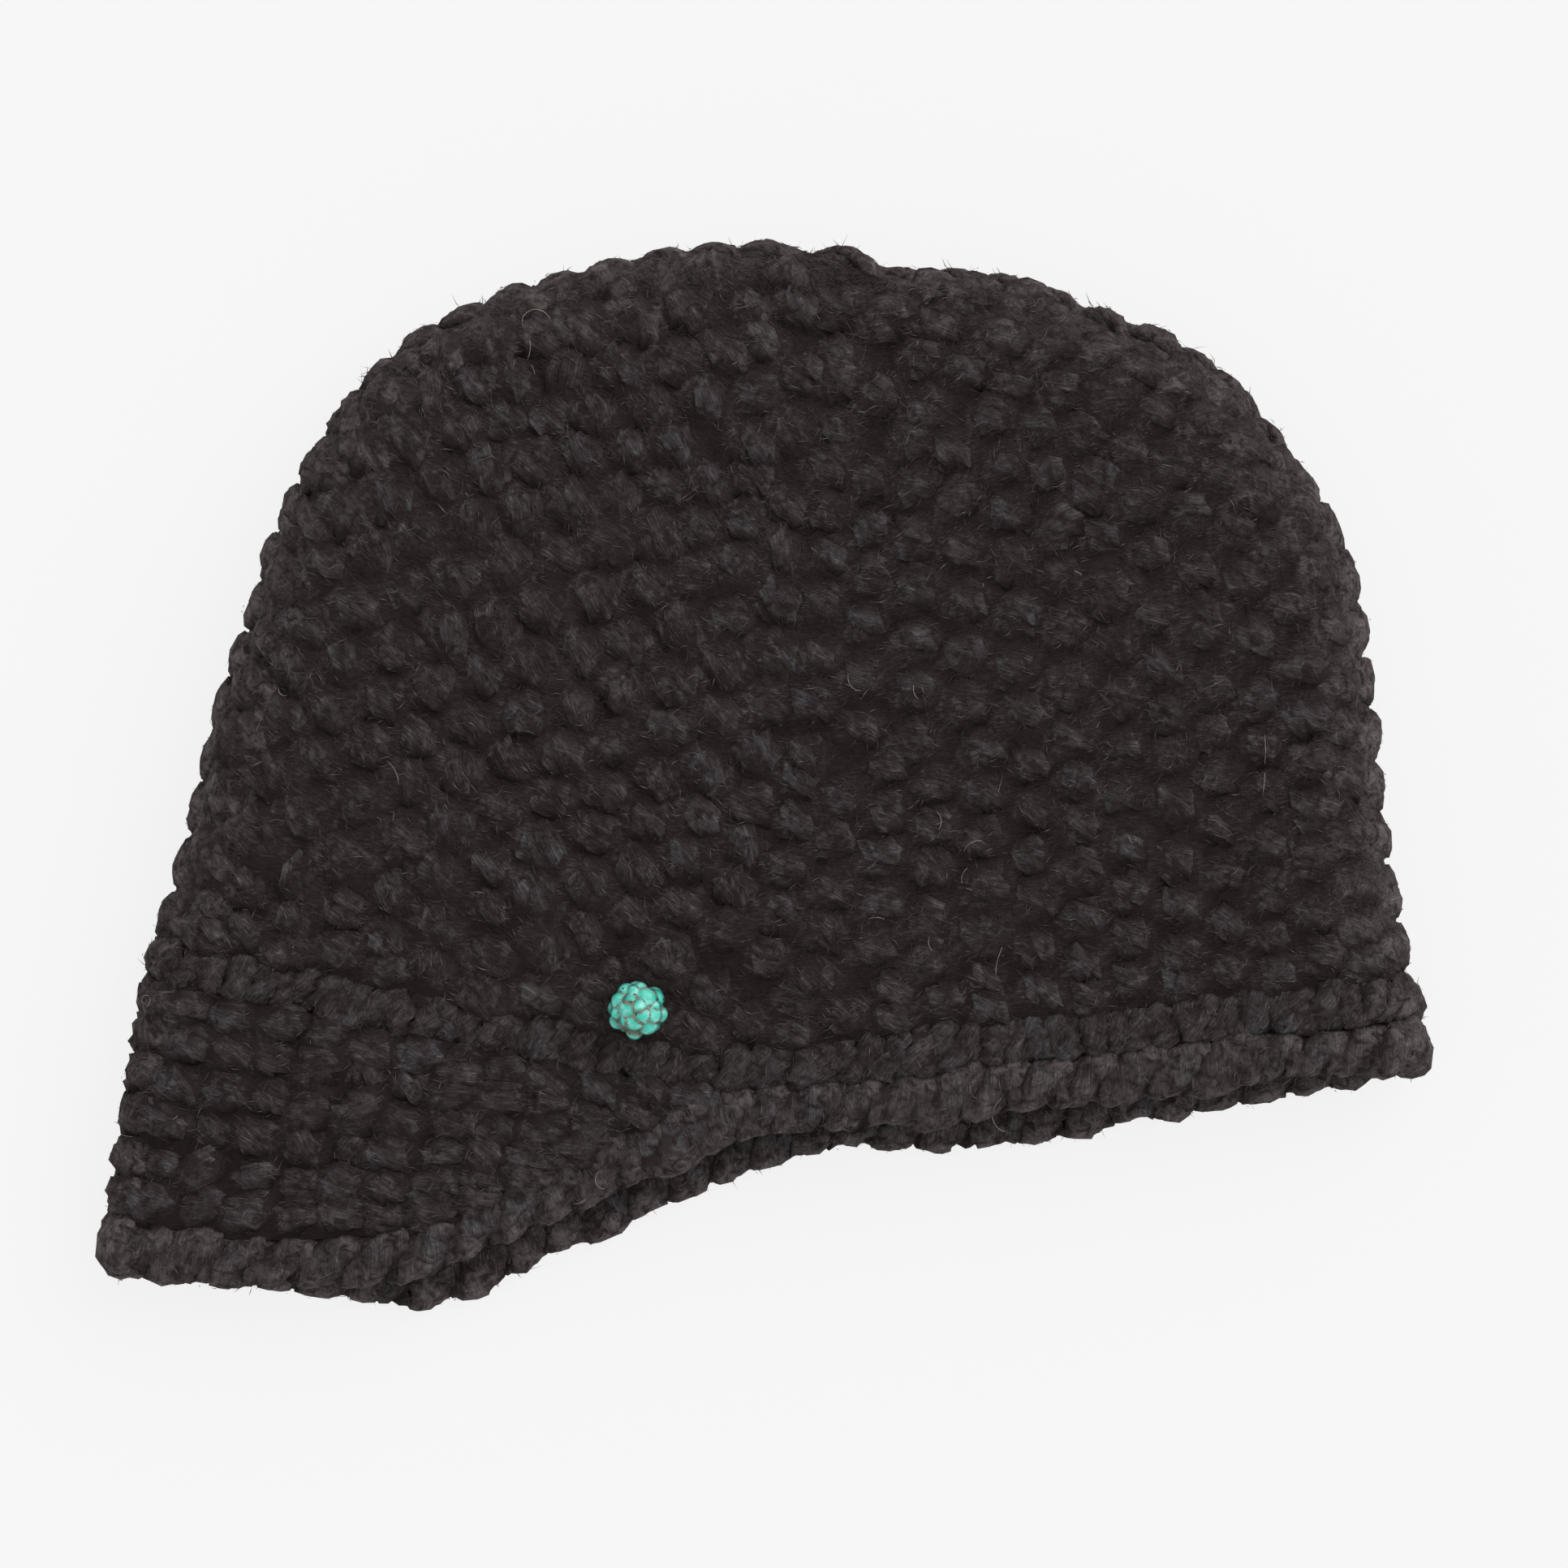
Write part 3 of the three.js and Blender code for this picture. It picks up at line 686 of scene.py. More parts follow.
def shape(piece, points, mapSize, swapped, closed, lift, rim, material):  # points in the plan's millimetres
    mesh = piece.data
    points[:, 2] = np.maximum(points[:, 2], 0)
    mesh.vertices.foreach_set("co", ((points + planShift) * millimetre).ravel())
    layer = mesh.uv_layers[0]
    layer.name = "strand"
    share = np.zeros(len(mesh.loops) * 2)
    layer.data.foreach_get("uv", share)
    share = share.reshape(-1, 2) * mapSize
    layer.data.foreach_set("uv", (share[:, ::-1] if swapped else share).ravel())
    addValues(mesh, "lift", lift)
    addValues(mesh, "rim", rim)
    mesh.update()
    if closed:
        editAll(bpy.ops.mesh.remove_doubles, threshold=0.05 * millimetre)
    bpy.ops.object.shade_smooth()
    mesh.materials.clear()
    mesh.materials.append(material)


def wall(name, surface, rows, steps, turns, closed, material):
    piece, share = gridShares(name, wallLook["size"], steps)
    turn = turns[0] + (turns[1] - turns[0]) * share[:, 0]
    row = rows[0] + (rows[1] - rows[0]) * share[:, 1]
    lift = np.full(len(row), wallLook["lift"])
    shape(piece, surface(row, turn), wallLook["mapSize"], False, closed, lift, 0 * lift, material)
    solidify = piece.modifiers.new("thickness", "SOLIDIFY")
    solidify.thickness = wallLook["thickness"] * millimetre
    solidify.offset = -1
    bpy.ops.object.modifier_apply(modifier="thickness")
    for vertex in piece.data.vertices:
        vertex.co.z = max(vertex.co.z, 0)
    print(f"{name}: {len(piece.data.polygons) * 2} triangles")
    return piece


def sunkCloth(row, turn):
    return clothPoint(row, turn) - clothOutward(row, turn) * wallLook["depth"]


def sunkPeak(row, side):
    return peakPoint(row, side) - peakOutward(row, side) * wallLook["depth"]


def dress(piece, slot, *nodes):
    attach(piece, "root")
    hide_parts(*nodes)


# The felt: worn fibres fill the hollows between stitches, so a soft skin joins them

feltLook = {
    "gap": 1.15,  # millimetres that the strands stand out of the felt
    "ropeGap": 0.75,  # and the same on the edging
    "ropeGirth": 3.4,  # centimetres of the fibre pattern round the rope
    "fall": 2.0,  # how much deeper it lies between them
    "narrow": 0.78,  # where it starts to fall, of a strand's half width
    "sharpness": 0.8,
    "spread": 2.0,  # half widths of a strand that it reaches out over
    "highest": 3.0,  # millimetres that a strand may lie above the base
    "lean": 1.2,  # and that the felt follows it
    "crown_felt": (300, 140),  # squares round the piece and up it
    "peak_felt": (200, 44),
    "edging_felt": (496, 20),
}


def feltOver(base, outward, parts, gap):  # how high the felt stands off its base, its lift and its grain
    path, reach, thick, sink, grain = (
        np.concatenate([part[key] for part in parts]) for key in ("path", "reach", "thick", "sink", "grain")
    )
    height, lift, along = np.zeros(len(base)), np.full(len(base), wallLook["lift"]), np.zeros(base.shape)
    batch, around = 200, 9  # places worked out at once, and millimetres round them to look for strands in
    for first in range(0, len(base), batch):
        spot = slice(first, first + batch)
        low, high = base[spot].min(0) - around, base[spot].max(0) + around
        near = np.flatnonzero(((path > low) & (path < high)).all(1))
        if not len(near):
            continue
        away = base[spot][:, None] - path[near]
        rise = np.sum(away * outward[spot][:, None], -1)
        aside = (np.sum(away**2, -1) - rise**2) / (feltLook["narrow"] * reach[near]) ** 2
        below = gap + feltLook["fall"] * (1 - 1 / (1 + feltLook["sharpness"] * aside**3))
        able = (aside < feltLook["spread"] ** 2) & (rise > -feltLook["highest"])
        each = np.where(able, thick[near] - np.maximum(rise, -feltLook["lean"]) - below, -9)
        best = each.argmax(1)
        at = np.arange(len(best))
        height[spot] = np.maximum(each[at, best], 0)
        # painted shade: the felt's lift, by which it is painted darker the deeper it lies below the strand
        # it follows
        depth = sink[near][best] - below[at, best]
        lift[spot] = np.where(each[at, best] > 0, np.clip(1 + depth / yarnLook["fall"], 0, 1), lift[spot])
        along[spot] = grain[near][best]
    return height, lift, along


def feltSkin(piece, base, outward, parts, gap, mapSize, swapped, closed, material):
    # lays the felt on its base, and gives the places where locks grow from it
    height, lift, along = feltOver(base, outward, parts, gap)
    points = base + outward * height[:, None]
    rim = np.hypot(outward[:, 0], outward[:, 1])
    shape(piece, points, mapSize, swapped, closed, lift, rim, material)
    print(f"{piece.name}: {len(piece.data.polygons) * 2} triangles")
    shown = outward[:, 2] > 0
    return {"points": points[shown], "facing": outward[shown], "along": along[shown], "lift": lift[shown]}


def felt(name, sunk, outwardAt, rows, turns, closed, parts, material):
    piece, share = gridShares(name, *feltLook[name])
    turn = np.interp(share[:, 0], *turns)
    row = rows[0] + (rows[1] - rows[0]) * share[:, 1]
    outward, base = outwardAt(row, turn), sunk(row, turn)
    gap, mapSize = feltLook["gap"], wallLook["mapSize"]
    return piece, feltSkin(piece, base, outward, parts, gap, mapSize, True, closed, material)


wool = woolMaterial()
crownRows = (cloth["rimRow"], cloth["poleRow"])
crownWall = wall("crown_wall", sunkCloth, crownRows, 44, (0, 1), True, wool)
upperPart = crownStitches(True, crownYarn)
lowerPart = crownStitches(False, {**crownYarn, "rings": 7, "sides": 5})
crownUpper = joinedMesh("crown_upper_stitches", [upperPart], wool)
crownLower = joinedMesh("crown_lower_stitches", [lowerPart], wool)
foldParts = foldStitches()
crownFolds = joinedMesh("crown_fold_stitches", foldParts, wool)
crownFelt, crownGrowth = felt(
    "crown_felt", sunkCloth, clothOutward, crownRows, ([0, 0.7, 1], [-0.02, 0.52, 0.98]), True,
    [upperPart, lowerPart, *foldParts], wool,
)  # seven tenths of the grid lie on the upper layer
for piece in (crownWall, crownUpper, crownLower, crownFolds, crownFelt):
    dress(piece, "wool", "crown")


# The band: one round of short upright strands over the seam

bandYarn = {
    "length": 9.4, "radius": 4.5, "flat": 0.5, "plies": 2, "turns": 0.4, "rings": 8, "sides": 7,
    "dive": 2.2, "taper": 0.2, "depth": 1.8, "jitter": 0.4, "pitch": 5.0, "row": -0.76, "fall": 5.5,
    "slant": (82.0, 9.0),
}


def evenTurns(row, pitch):  # turns that lie evenly spaced round the cap
    fine = np.linspace(0, 1, 1441)
    run = lengthAlong(clothPoint(row, fine))
    return evenly(run, int(round(run[-1] / pitch)), fine)


def bandStrands():
    turn = evenTurns(bandYarn["row"], bandYarn["pitch"])
    row = np.full(turn.shape, bandYarn["row"])
    angle = random.normal(*bandYarn["slant"], len(turn))
    return laid(clothPoint, row, turn, clothSteps, 1, bandYarn, angle)


bandWall = wall("band_wall", sunkCloth, (cloth["hemRow"], cloth["rimRow"]), 6, (0, 1), True, wool)
bandPart = bandStrands()
band = joinedMesh("band_strands", [bandPart], wool)
for piece in (bandWall, band):
    dress(piece, "wool", "band")


# The peak: three double rows of stitches, with a groove under each

peakYarn = {
    **crownYarn,
    "radius": 4.8,
    "dive": 3.1,
    "jitter": 0.6,
    "slant": (16.0, 24.0),
    "endClear": 1.0,  # millimetres at each end of a row that stay free
    "pairing": 0.028,  # how far the two lines of a double row move together, in rows
}


def peakStitches():  # six lines of stitches, one above another along the fold
    found = []
    for line in range(cloth["peakRibs"] * 2):
        row = (line + 0.5) / 2 + peakYarn["pairing"] * (-1) ** line
        fine = np.linspace(-1, 1, 401)
        run = lengthAlong(peakPoint(row, fine))
        middle = np.interp(0.0, fine, run)
        reach = int(run[-1] / peakYarn["pitch"])
        for k in range(-reach, reach + 1):
            at = middle + k * peakYarn["pitch"]
            if peakYarn["endClear"] < at < run[-1] - peakYarn["endClear"]:
                found.append((row, np.interp(at, run, fine)))
    row, side = np.array(found).T
    angle = random.normal(*peakYarn["slant"], len(row))
    return laid(peakPoint, row, side, peakSteps, -1, peakYarn, angle)


peakRange = (cloth["peakRibs"] + 0.1, 0.0)  # from inside the edging to the band
peakWall = wall("peak_wall", sunkPeak, peakRange, 20, (-1, 1), False, wool)
peakPart = peakStitches()
peak = joinedMesh("peak_stitches", [peakPart], wool)
peakFelt, peakGrowth = felt(
    "peak_felt", sunkPeak, peakOutward, peakRange, ([0, 0.4, 1], [-1, -0.1, 1]), False, [peakPart], wool
)
for piece in (peakWall, peak, peakFelt):
    dress(piece, "wool", "peak")


# The edging: a last round of fat strands wound slantwise over the edge, like a rope

edgingYarn = {
    "strands": 62, "radius": 5.1, "flat": 0.64, "plies": 3, "turns": -0.5, "rings": 21, "sides": 8,
    "halfWidth": 6.9, "halfThick": 4.2, "advance": 7.5, "wave": 0.7, "start": -140.0, "sweep": 340.0,
    "taper": 0.3, "drop": -1.0, "fall": 6.0, "lumps": 0.06, "unevenness": 0.6, "cornerThick": 0.3,
    "reach": 0.8,  # millimetres either side that the rope's direction is measured over
    "sizeSpread": 0.08,
    "turnSpread": (0.9, 1.1),
}


def hemLine():  # the lower edge of the cloth, round the peak and along the band
    points, normals = [], []

    def add(surface, a, b, steps, facing):
        points.append(surface(a, b))
        normals.append(frameOf(surface, np.array([a]), np.array([b]), *steps, facing)[0][0])

    ribs = cloth["peakRibs"]
    alongPeak, alongSide, alongBand = 12, 5, 13
    bandSteps = (0.1, 0.004)
    corner, sideTop, sideRun = 0.97, 0.93, 0.85  # shares of the peak's edge and depth
    bandStart, bandRun = 0.26, 0.48  # turns of the cap, from the end of the peak and round the back
    for i in range(alongPeak):
        add(peakPoint, ribs, corner * i / alongPeak, peakSteps, -1)
    for i in range(alongSide):
        add(peakPoint, ribs * (sideTop - sideRun * i / alongSide), 1.0, peakSteps, -1)
    for i in range(alongBand + 1):
        add(clothPoint, cloth["hemRow"], bandStart + bandRun * i / alongBand, bandSteps, 1)
    for i in range(alongSide - 1, -1, -1):
        add(peakPoint, ribs * (sideTop - sideRun * i / alongSide), -1.0, peakSteps, -1)
    for i in range(alongPeak - 1, 0, -1):
        add(peakPoint, ribs, -corner * i / alongPeak, peakSteps, -1)
    return np.array(points), np.array(normals)


def closedCurve(points, normals):  # evenly spaced places on a smooth closed curve
    before, after, second = np.roll(points, 1, 0), np.roll(points, -1, 0), np.roll(points, -2, 0)
    t = np.linspace(0, 1, 24, endpoint=False)[None, :, None]
    p0, p1, p2, p3 = (p[:, None, :] for p in (before, points, after, second))
    fine = 0.5 * (
        2 * p1 + (p2 - p0) * t + (2 * p0 - 5 * p1 + 4 * p2 - p3) * t**2 + (3 * p1 - p0 - 3 * p2 + p3) * t**3
    )
    facing = normals[:, None, :] * (1 - t) + np.roll(normals, -1, 0)[:, None, :] * t
    fine, facing = fine.reshape(-1, 3), facing.reshape(-1, 3)
    loop, facing = (np.vstack([values, values[:1]]) for values in (fine, facing))
    return lengthAlong(loop), loop, facing


def ropeFrame(curve, at):  # the middle of the rope, its two axes and its half thickness
    run, loop, facing = curve
    look = edgingYarn
    sample = lambda values, where: np.stack(
        [np.interp(np.mod(where, run[-1]), run, values[:, i]) for i in range(3)], -1
    )
    ahead = sample(loop, at + look["reach"]) - sample(loop, at - look["reach"])
    normal = unit(sample(facing, at))
    down = unit(np.cross(unit(ahead), normal))
    atFold = 1 - np.abs(normal[..., 2:])  # the rope is rounder where it turns over at a fold
    thick = look["halfThick"] * (1 + look["cornerThick"] * atFold) - look["radius"] * look["flat"]
    centre = sample(loop, at) + down * (look["halfWidth"] + look["drop"]) - normal * look["halfThick"]
    return centre, down, normal, thick


def edgingStrands(curve):
    look = edgingYarn
    count, total = look["strands"], curve[0][-1]
    u = np.linspace(0, 1, look["rings"])
    theta = np.radians(look["start"] + look["sweep"] * u)
    middle = (np.arange(count) + 0.5) * total / count
    run = theta - 0.5 * look["wave"] * np.sin(2 * theta)  # they cross the outer edge almost squarely
    at = middle[:, None] + look["advance"] * (run - run.mean())[None, :] / math.pi
    centre, down, normal, thick = ropeFrame(curve, at)
    reach = look["halfWidth"] - look["radius"] * look["flat"] + random.normal(0, look["unevenness"], count)
    outwards = np.cos(theta)[None, :, None] * down + np.sin(theta)[None, :, None] * normal
    paths = (
        centre
        + down * (np.cos(theta) * reach[:, None])[..., None]
        + normal * np.sin(theta)[None, :, None] * thick
    )
    size = random.normal(1, look["sizeSpread"], count)
    ends = 1 - look["taper"] * np.abs(2 * u - 1) ** 6
    radius = look["radius"] * size[:, None] * ends[None, :]
    turns = look["turns"] * random.uniform(*look["turnSpread"], count)
    phase = random.uniform(0, 2 * math.pi, count)
    return strandMesh(paths, outwards, radius, look, turns, phase, random.uniform(0, 1, count))


def ropeFelt(curve, part, material):  # a ring of felt that fills the rope
    look, total = edgingYarn, curve[0][-1]
    piece, share = gridShares("edging_felt", *feltLook["edging_felt"])
    at = share[:, 0] * total
    theta = share[:, 1:2] * 2 * math.pi
    centre, down, normal, thick = ropeFrame(curve, at)
    reach = look["halfWidth"] - look["radius"] * look["flat"]
    outward = np.cos(theta) * down + np.sin(theta) * normal
    base = centre + down * np.cos(theta) * reach + normal * np.sin(theta) * thick
    gap, mapSize = feltLook["ropeGap"], (total / uvMillimetres, feltLook["ropeGirth"])
    growth = feltSkin(piece, base, outward, [part], gap, mapSize, False, True, material)
    editAll(bpy.ops.mesh.normals_make_consistent, inside=False)
    return piece, growth


edgeCurve = closedCurve(*hemLine())
edgingPart = edgingStrands(edgeCurve)
edging = joinedMesh("edging_rope", [edgingPart], wool)
edgingFelt, edgingGrowth = ropeFelt(edgeCurve, edgingPart, wool)
for piece in (edging, edgingFelt):
    dress(piece, "wool", "edging")


# The bloom of the wool: short locks that lie over the stitches, and fine loose hairs that stand off

lockLook = {
    "topShare": 0.6,  # 0 grows them evenly, and 1 the more of them the higher a place lies
    "radius": 0.1,
    "length": (1.4, 4.2),
    "swerve": 34.0,
    "bend": 0.12,
    "blob": 8.0,  # radius of the rounding of the stitches that they lie on
    "rise": (0.1, 0.08),
    "flankRise": 0.9,  # how much more they stand off the flanks of a stitch
    # painted light: how much lighter the locks are painted than the place that they grow from
    "lift": 0.17,
    "edgeLength": 0.21,  # how short they are where the cloth turns over, of their full length
    "turnedUp": (0.3, 0.8),  # of how far the cloth there faces up or down
    "lowest": 0.2,  # the least lift of a place that they grow from
    "slide": 0.8,  # millimetres from that place at most
    "sunk": 0.05,  # and how deep their roots are
    "middle": 0.45,  # share of the length at which they are thickest
    "sizes": (0.5, 1.2),
}
hairLook = {
    "radius": 0.035,
    "taper": (0.6, 1, 1, 0.9, 0.7, 0.3),  # of the radius at each point from root to tip
    "sizes": (0.7, 1.2),
    "lowest": 0.5,
    "sunk": 0.05,
    "length": (2.0, 5.0),
    "points": 6,
    "swerve": 60.0,
    "curl": 0.3,
    "rise": (0.12, 0.1),
    "sag": 0.1,
    "colour": "#4d4343",
    "plies": 1,
    "sides": 3,
    "flat": 1.0,
}


def roots(parts, shares, lowest):  # places to grow from on the outer sides of stitches
    found = []
    for part, share in zip(parts, shares):
        able = np.flatnonzero(part["lift"] > lowest)
        weight = part["lift"][able] ** lockLook["topShare"]
        chosen = random.choice(able, share, p=weight / weight.sum())
        facing = part["facing"][chosen]
        along = part["along"][chosen]
        along = unit(along - facing * np.sum(along * facing, -1, keepdims=True))
        found.append((part["points"][chosen], facing, along, part["lift"][chosen]))
    return [np.concatenate(column) for column in zip(*found)]


def eitherWay(swerve, count):  # headings along the yarn, one way or the other, in radians
    return np.radians(random.normal(0, swerve, count)) + math.pi * random.integers(0, 2, count)


def locks(parts, shares):  # slim spindles with three sides, bent over the stitch that they lie on
    root, facing, along, lift = roots(parts, shares, lockLook["lowest"])
    count = len(root)
    beside = np.cross(facing, along)
    slide = random.uniform(-lockLook["slide"], lockLook["slide"], (count, 2))
    root = root + slide[:, :1] * along + slide[:, 1:] * beside - lockLook["sunk"] * facing
    turnedUp = smoothStep(np.abs(facing[:, 2]), *lockLook["turnedUp"])
    short = lockLook["edgeLength"] + (1 - lockLook["edgeLength"]) * turnedUp
    length = random.uniform(*lockLook["length"], count) * short
    heading = eitherWay(lockLook["swerve"], count)
    ahead = np.cos(heading)[:, None] * along + np.sin(heading)[:, None] * beside
    aside = np.cross(facing, ahead)
    rise = random.normal(*lockLook["rise"], count) * turnedUp
    rise = rise + lockLook["flankRise"] * (1 - lift) * random.uniform(0, 1, count) * turnedUp
    bend = random.normal(0, lockLook["bend"], count)
    reach = np.array([0, lockLook["middle"], 1.0])[None, :] * length[:, None]
    climb = rise[:, None] * reach - reach**2 / (2 * lockLook["blob"])
    path = (
        root[:, None, :]
        + ahead[:, None, :] * reach[..., None]
        + facing[:, None, :] * climb[..., None]
        + aside[:, None, :] * (bend[:, None] * reach**2)[..., None]
    )
    angle = random.uniform(0, 2 * math.pi, count)[:, None] + np.radians([0, 120, 240])
    ring = np.cos(angle)[..., None] * facing[:, None, :] + np.sin(angle)[..., None] * aside[:, None, :]
    ring = ring * (lockLook["radius"] * random.uniform(*lockLook["sizes"], count))[:, None, None]
    points = np.concatenate([path[:, :1], path[:, 1:2] + ring, path[:, 2:]], 1)
    side, after = np.arange(3), (np.arange(3) + 1) % 3
    first = np.stack([np.zeros(3, int), 1 + after, 1 + side], -1)
    last = np.stack([np.full(3, 4), 1 + side, 1 + after], -1)
    bases = np.arange(count)[:, None, None] * 5
    shift = np.repeat(random.uniform(0, 500, (count, 1, 2)), 9, 1).reshape(-1, 2)
    return {
        "points": points.reshape(-1, 3),
        "faces": [(bases + first).reshape(-1, 3), (bases + last).reshape(-1, 3)],
        "uv": [shift, shift],
        "lift": np.repeat(np.clip(lift + lockLook["lift"], 0, 1), 5),
        "tone": np.repeat(random.uniform(0, 1, count), 5),
        "rim": np.repeat(np.hypot(facing[:, 0], facing[:, 1]), 5),
    }


def looseHairs(parts, shares):
    root, facing, along = roots(parts, shares, hairLook["lowest"])[:3]
    count = len(root)
    beside = np.cross(facing, along)
    length = random.uniform(*hairLook["length"], count)
    heading = eitherWay(hairLook["swerve"], count)
    curl = random.normal(0, hairLook["curl"], count)
    rise = random.normal(*hairLook["rise"], count)
    step = length / (hairLook["points"] - 1)
    path = [root - facing * hairLook["sunk"]]
    while len(path) < hairLook["points"]:
        level = np.cos(heading)[:, None] * along + np.sin(heading)[:, None] * beside
        path.append(path[-1] + unit(level + rise[:, None] * facing) * step[:, None])
        heading = heading + curl * step
        rise = rise - hairLook["sag"] * step
    radius = hairLook["radius"] * random.uniform(*hairLook["sizes"], count)[:, None] * hairLook["taper"]
    blank, tone = np.zeros(count), random.uniform(0, 1, count)
    return strandMesh(np.stack(path, 1), facing, radius, hairLook, blank, blank, tone)


def fibreMaterial(name, colour):
    # Single wool fibres: scaly keratin, so a soft gloss on a dull hair
    material, tree, shader = newMaterial(name, 0.7, 1.55, {"Specular IOR Level": 0.3})
    dark = [c * 0.45 for c in linear(colour)[:3]] + [1.0]
    shade = mixColour(tree, attribute(tree, "tone"), dark, linear(colour))
    tree.links.new(shade, shader.inputs["Base Color"])
    return material


def lockMaterial():
    # Locks of wool fibres drawn out of the yarn by wear, with the same painted light and shade as the place
    # that they grow from
    material, tree, shader = newMaterial("wool_bloom", 0.9, 1.53, {"Specular IOR Level": 0.2})
    bright = ranged(tree, attribute(tree, "tone"), 0.4, 1.0, 0.5)
    lit = mixColour(tree, bright, linear(woolLook["body"]), linear(woolLook["fibre"]))
    shade = mixColour(tree, paintedLightShare(tree), linear(woolLook["creviceShade"]), lit)
    tree.links.new(shade, shader.inputs["Base Color"])
    return material


lint = table(  # pale hairs: where each starts in plan, its length, heading half way and curl in degrees
    ["x", "y", "length", "heading", "curl"],
    [
        [-43.9, 93.1, 9.8, 200, 180],
        [-48.6, 90.4, 4.8, -100, -40],
        [-49.4, 85.7, 3.4, -60, -40],
        [41.2, -16.5, 4.5, 30, -70],
        [43.2, -19.1, 6.7, 280, 150],
        [21.1, -30.3, 6.2, -25, -90],
        [25.7, -32.9, 2.7, 30, 100],
        [49.8, -35.2, 6.4, -103, 25],
        [50.0, -67.0, 9.0, -80, 120],
        [103.5, 9.0, 12.5, -92, -14],
        [-100.5, 18.0, 3.5, -20, 150],
        [-78.5, 3.0, 6.5, -70, -60],
        [64.0, 42.0, 2.2, -25, 0],
        [45.5, 40.0, 3.0, -60, 90],
        [31.0, 18.5, 3.2, -70, 60],
        [-5.5, -31.5, 4.2, -20, 40],
        [17.5, 21.0, 5.0, -50, 100],
        [-34.0, -82.5, 5.0, -70, 130],
        [-37.0, -88.5, 3.0, 200, -50],
        [-35.0, -29.0, 2.5, 60, 30],
        [35.0, -37.0, 3.0, 100, -60],
        [36.0, -12.0, 4.2, 100, 80],
        [-129.4, -48.9, 6.2, 180, 320],
        [-134.8, -75.3, 7.0, 5, 40],
        [3.0, -74.7, 0.6, 20, 0],
        [-94.7, -49.2, 0.5, 50, 0],
        [-97.8, -36.3, 0.5, 70, 0],
        [51.6, -40.0, 0.5, 80, 0],
        [-123.0, -72.0, 1.2, 40, 20],
    ],
)
lintLook = {
    "radius": 0.048,
    "points": 12,
    "above": 0.3,
    "sag": 4.0,
    "colour": "#a39a92",
    "plies": 1,
    "sides": 5,
    "flat": 1.0,
}


def topOf(ground, spot):  # height of the highest piece over a place
    hits = [piece.ray_cast((spot[0], spot[1], 0.2), (0, 0, -1)) for piece in ground]
    return max((hit[1].z for hit in hits if hit[0]), default=0.0)


def lintHairs(ground):
    paths = []
    for x, y, length, heading, curl in zip(*lint.values()):
        angle = np.radians(heading + curl * (np.linspace(0, 1, lintLook["points"]) ** 1.3 - 0.5))
        step = length / (lintLook["points"] - 1)
        plan = np.cumsum(np.stack([np.cos(angle), np.sin(angle)], -1) * step, 0) + (x, y)
        place = (np.column_stack([plan, np.zeros(len(plan))]) + planShift) * millimetre
        heights = [topOf(ground, spot) / millimetre for spot in place]
        smooth = np.convolve(np.pad(heights, 2, mode="edge"), np.ones(5) / 5, mode="valid")
        z = np.maximum(smooth, heights) + lintLook["above"]
        z = np.maximum(z, z.max() - lintLook["sag"])
        paths.append(np.column_stack([plan, z]))
    paths = np.array(paths)
    count = len(paths)
    ends = 1 - 0.5 * np.abs(np.linspace(-1, 1, lintLook["points"])) ** 4
    radius = np.repeat(lintLook["radius"] * ends[None, :], count, 0)
    up = np.repeat(np.array([[0.0, 0.0, 1.0]]), count, 0)
    blank = np.zeros(count)
    return strandMesh(paths, up, radius, lintLook, blank, blank, np.ones(count))


# The bead: a dyed stone nugget, tumbled smooth, with a grey-brown matrix left in its grooves

nugget = {
    "core": 0.76,  # radius of the matrix between the nodules, of the bead's
    "crease": 6.5,  # how sharply the matrix's colour ends where two nodules meet
    "spareNodules": 26,
    "spareSize": 0.3,
    "apart": 0.86,  # cosine of the least angle from a spare nodule to one that shows
    "spareTop": 0.25,  # and how high up the bead the spare ones lie, of its radius
    "stone": "#3fc6b0",
    "pale": "#93e8d9",
    "shade": "#1f9683",
    "matrix": "#7c7867",
    # the dark of real pits in the stone, and also the colour of the painted shade on the flanks and in the
    # grooves
    "pitAndShade": "#12362f",
    "clouds": 1.9231,  # millimetres across a paler cloud in the stone
    "crumbs": 1.1111,
    "pits": 2.0833,  # from one pit to the next
    "bump": 0.1,
}
nodules = table(  # across and up on the face that shows, and size, as shares of the bead's radius
    ["x", "y", "size"],
    [
        [-0.47, 0.80, 0.30], [-0.77, 0.38, 0.30], [-0.13, 0.74, 0.20], [0.13, 0.86, 0.25],
        [0.42, 0.55, 0.36], [0.81, 0.50, 0.32], [-0.37, 0.09, 0.36], [-0.26, 0.36, 0.24],
        [0.08, 0.12, 0.27], [0.18, -0.20, 0.30], [0.69, -0.22, 0.32], [-0.13, -0.50, 0.34],
        [-0.46, -0.42, 0.19], [0.52, -0.68, 0.38], [-0.82, -0.14, 0.20], [0.70, 0.16, 0.17],
    ],
)


def spreadDirections(count):
    i = np.arange(count)
    z = 1 - (2 * i + 1) / count
    r = np.sqrt(1 - z * z)
    angle = math.pi * (3 - math.sqrt(5)) * i
    return np.stack([r * np.cos(angle), r * np.sin(angle), z], -1)


def noduleSpheres():
    facing = np.stack([nodules["x"], nodules["y"]], -1)
    depth = np.sqrt(np.maximum(1 - (facing**2).sum(1), 0.0))
    shown = unit(np.column_stack([facing, depth]))
    spare = spreadDirections(nugget["spareNodules"])
    near = (spare @ shown.T).max(1)
    spare = spare[(near < nugget["apart"]) & (spare[:, 2] < nugget["spareTop"])]
    directions = np.vstack([shown, spare])
    sizes = np.concatenate([nodules["size"], np.full(len(spare), nugget["spareSize"])])
    return directions, sizes


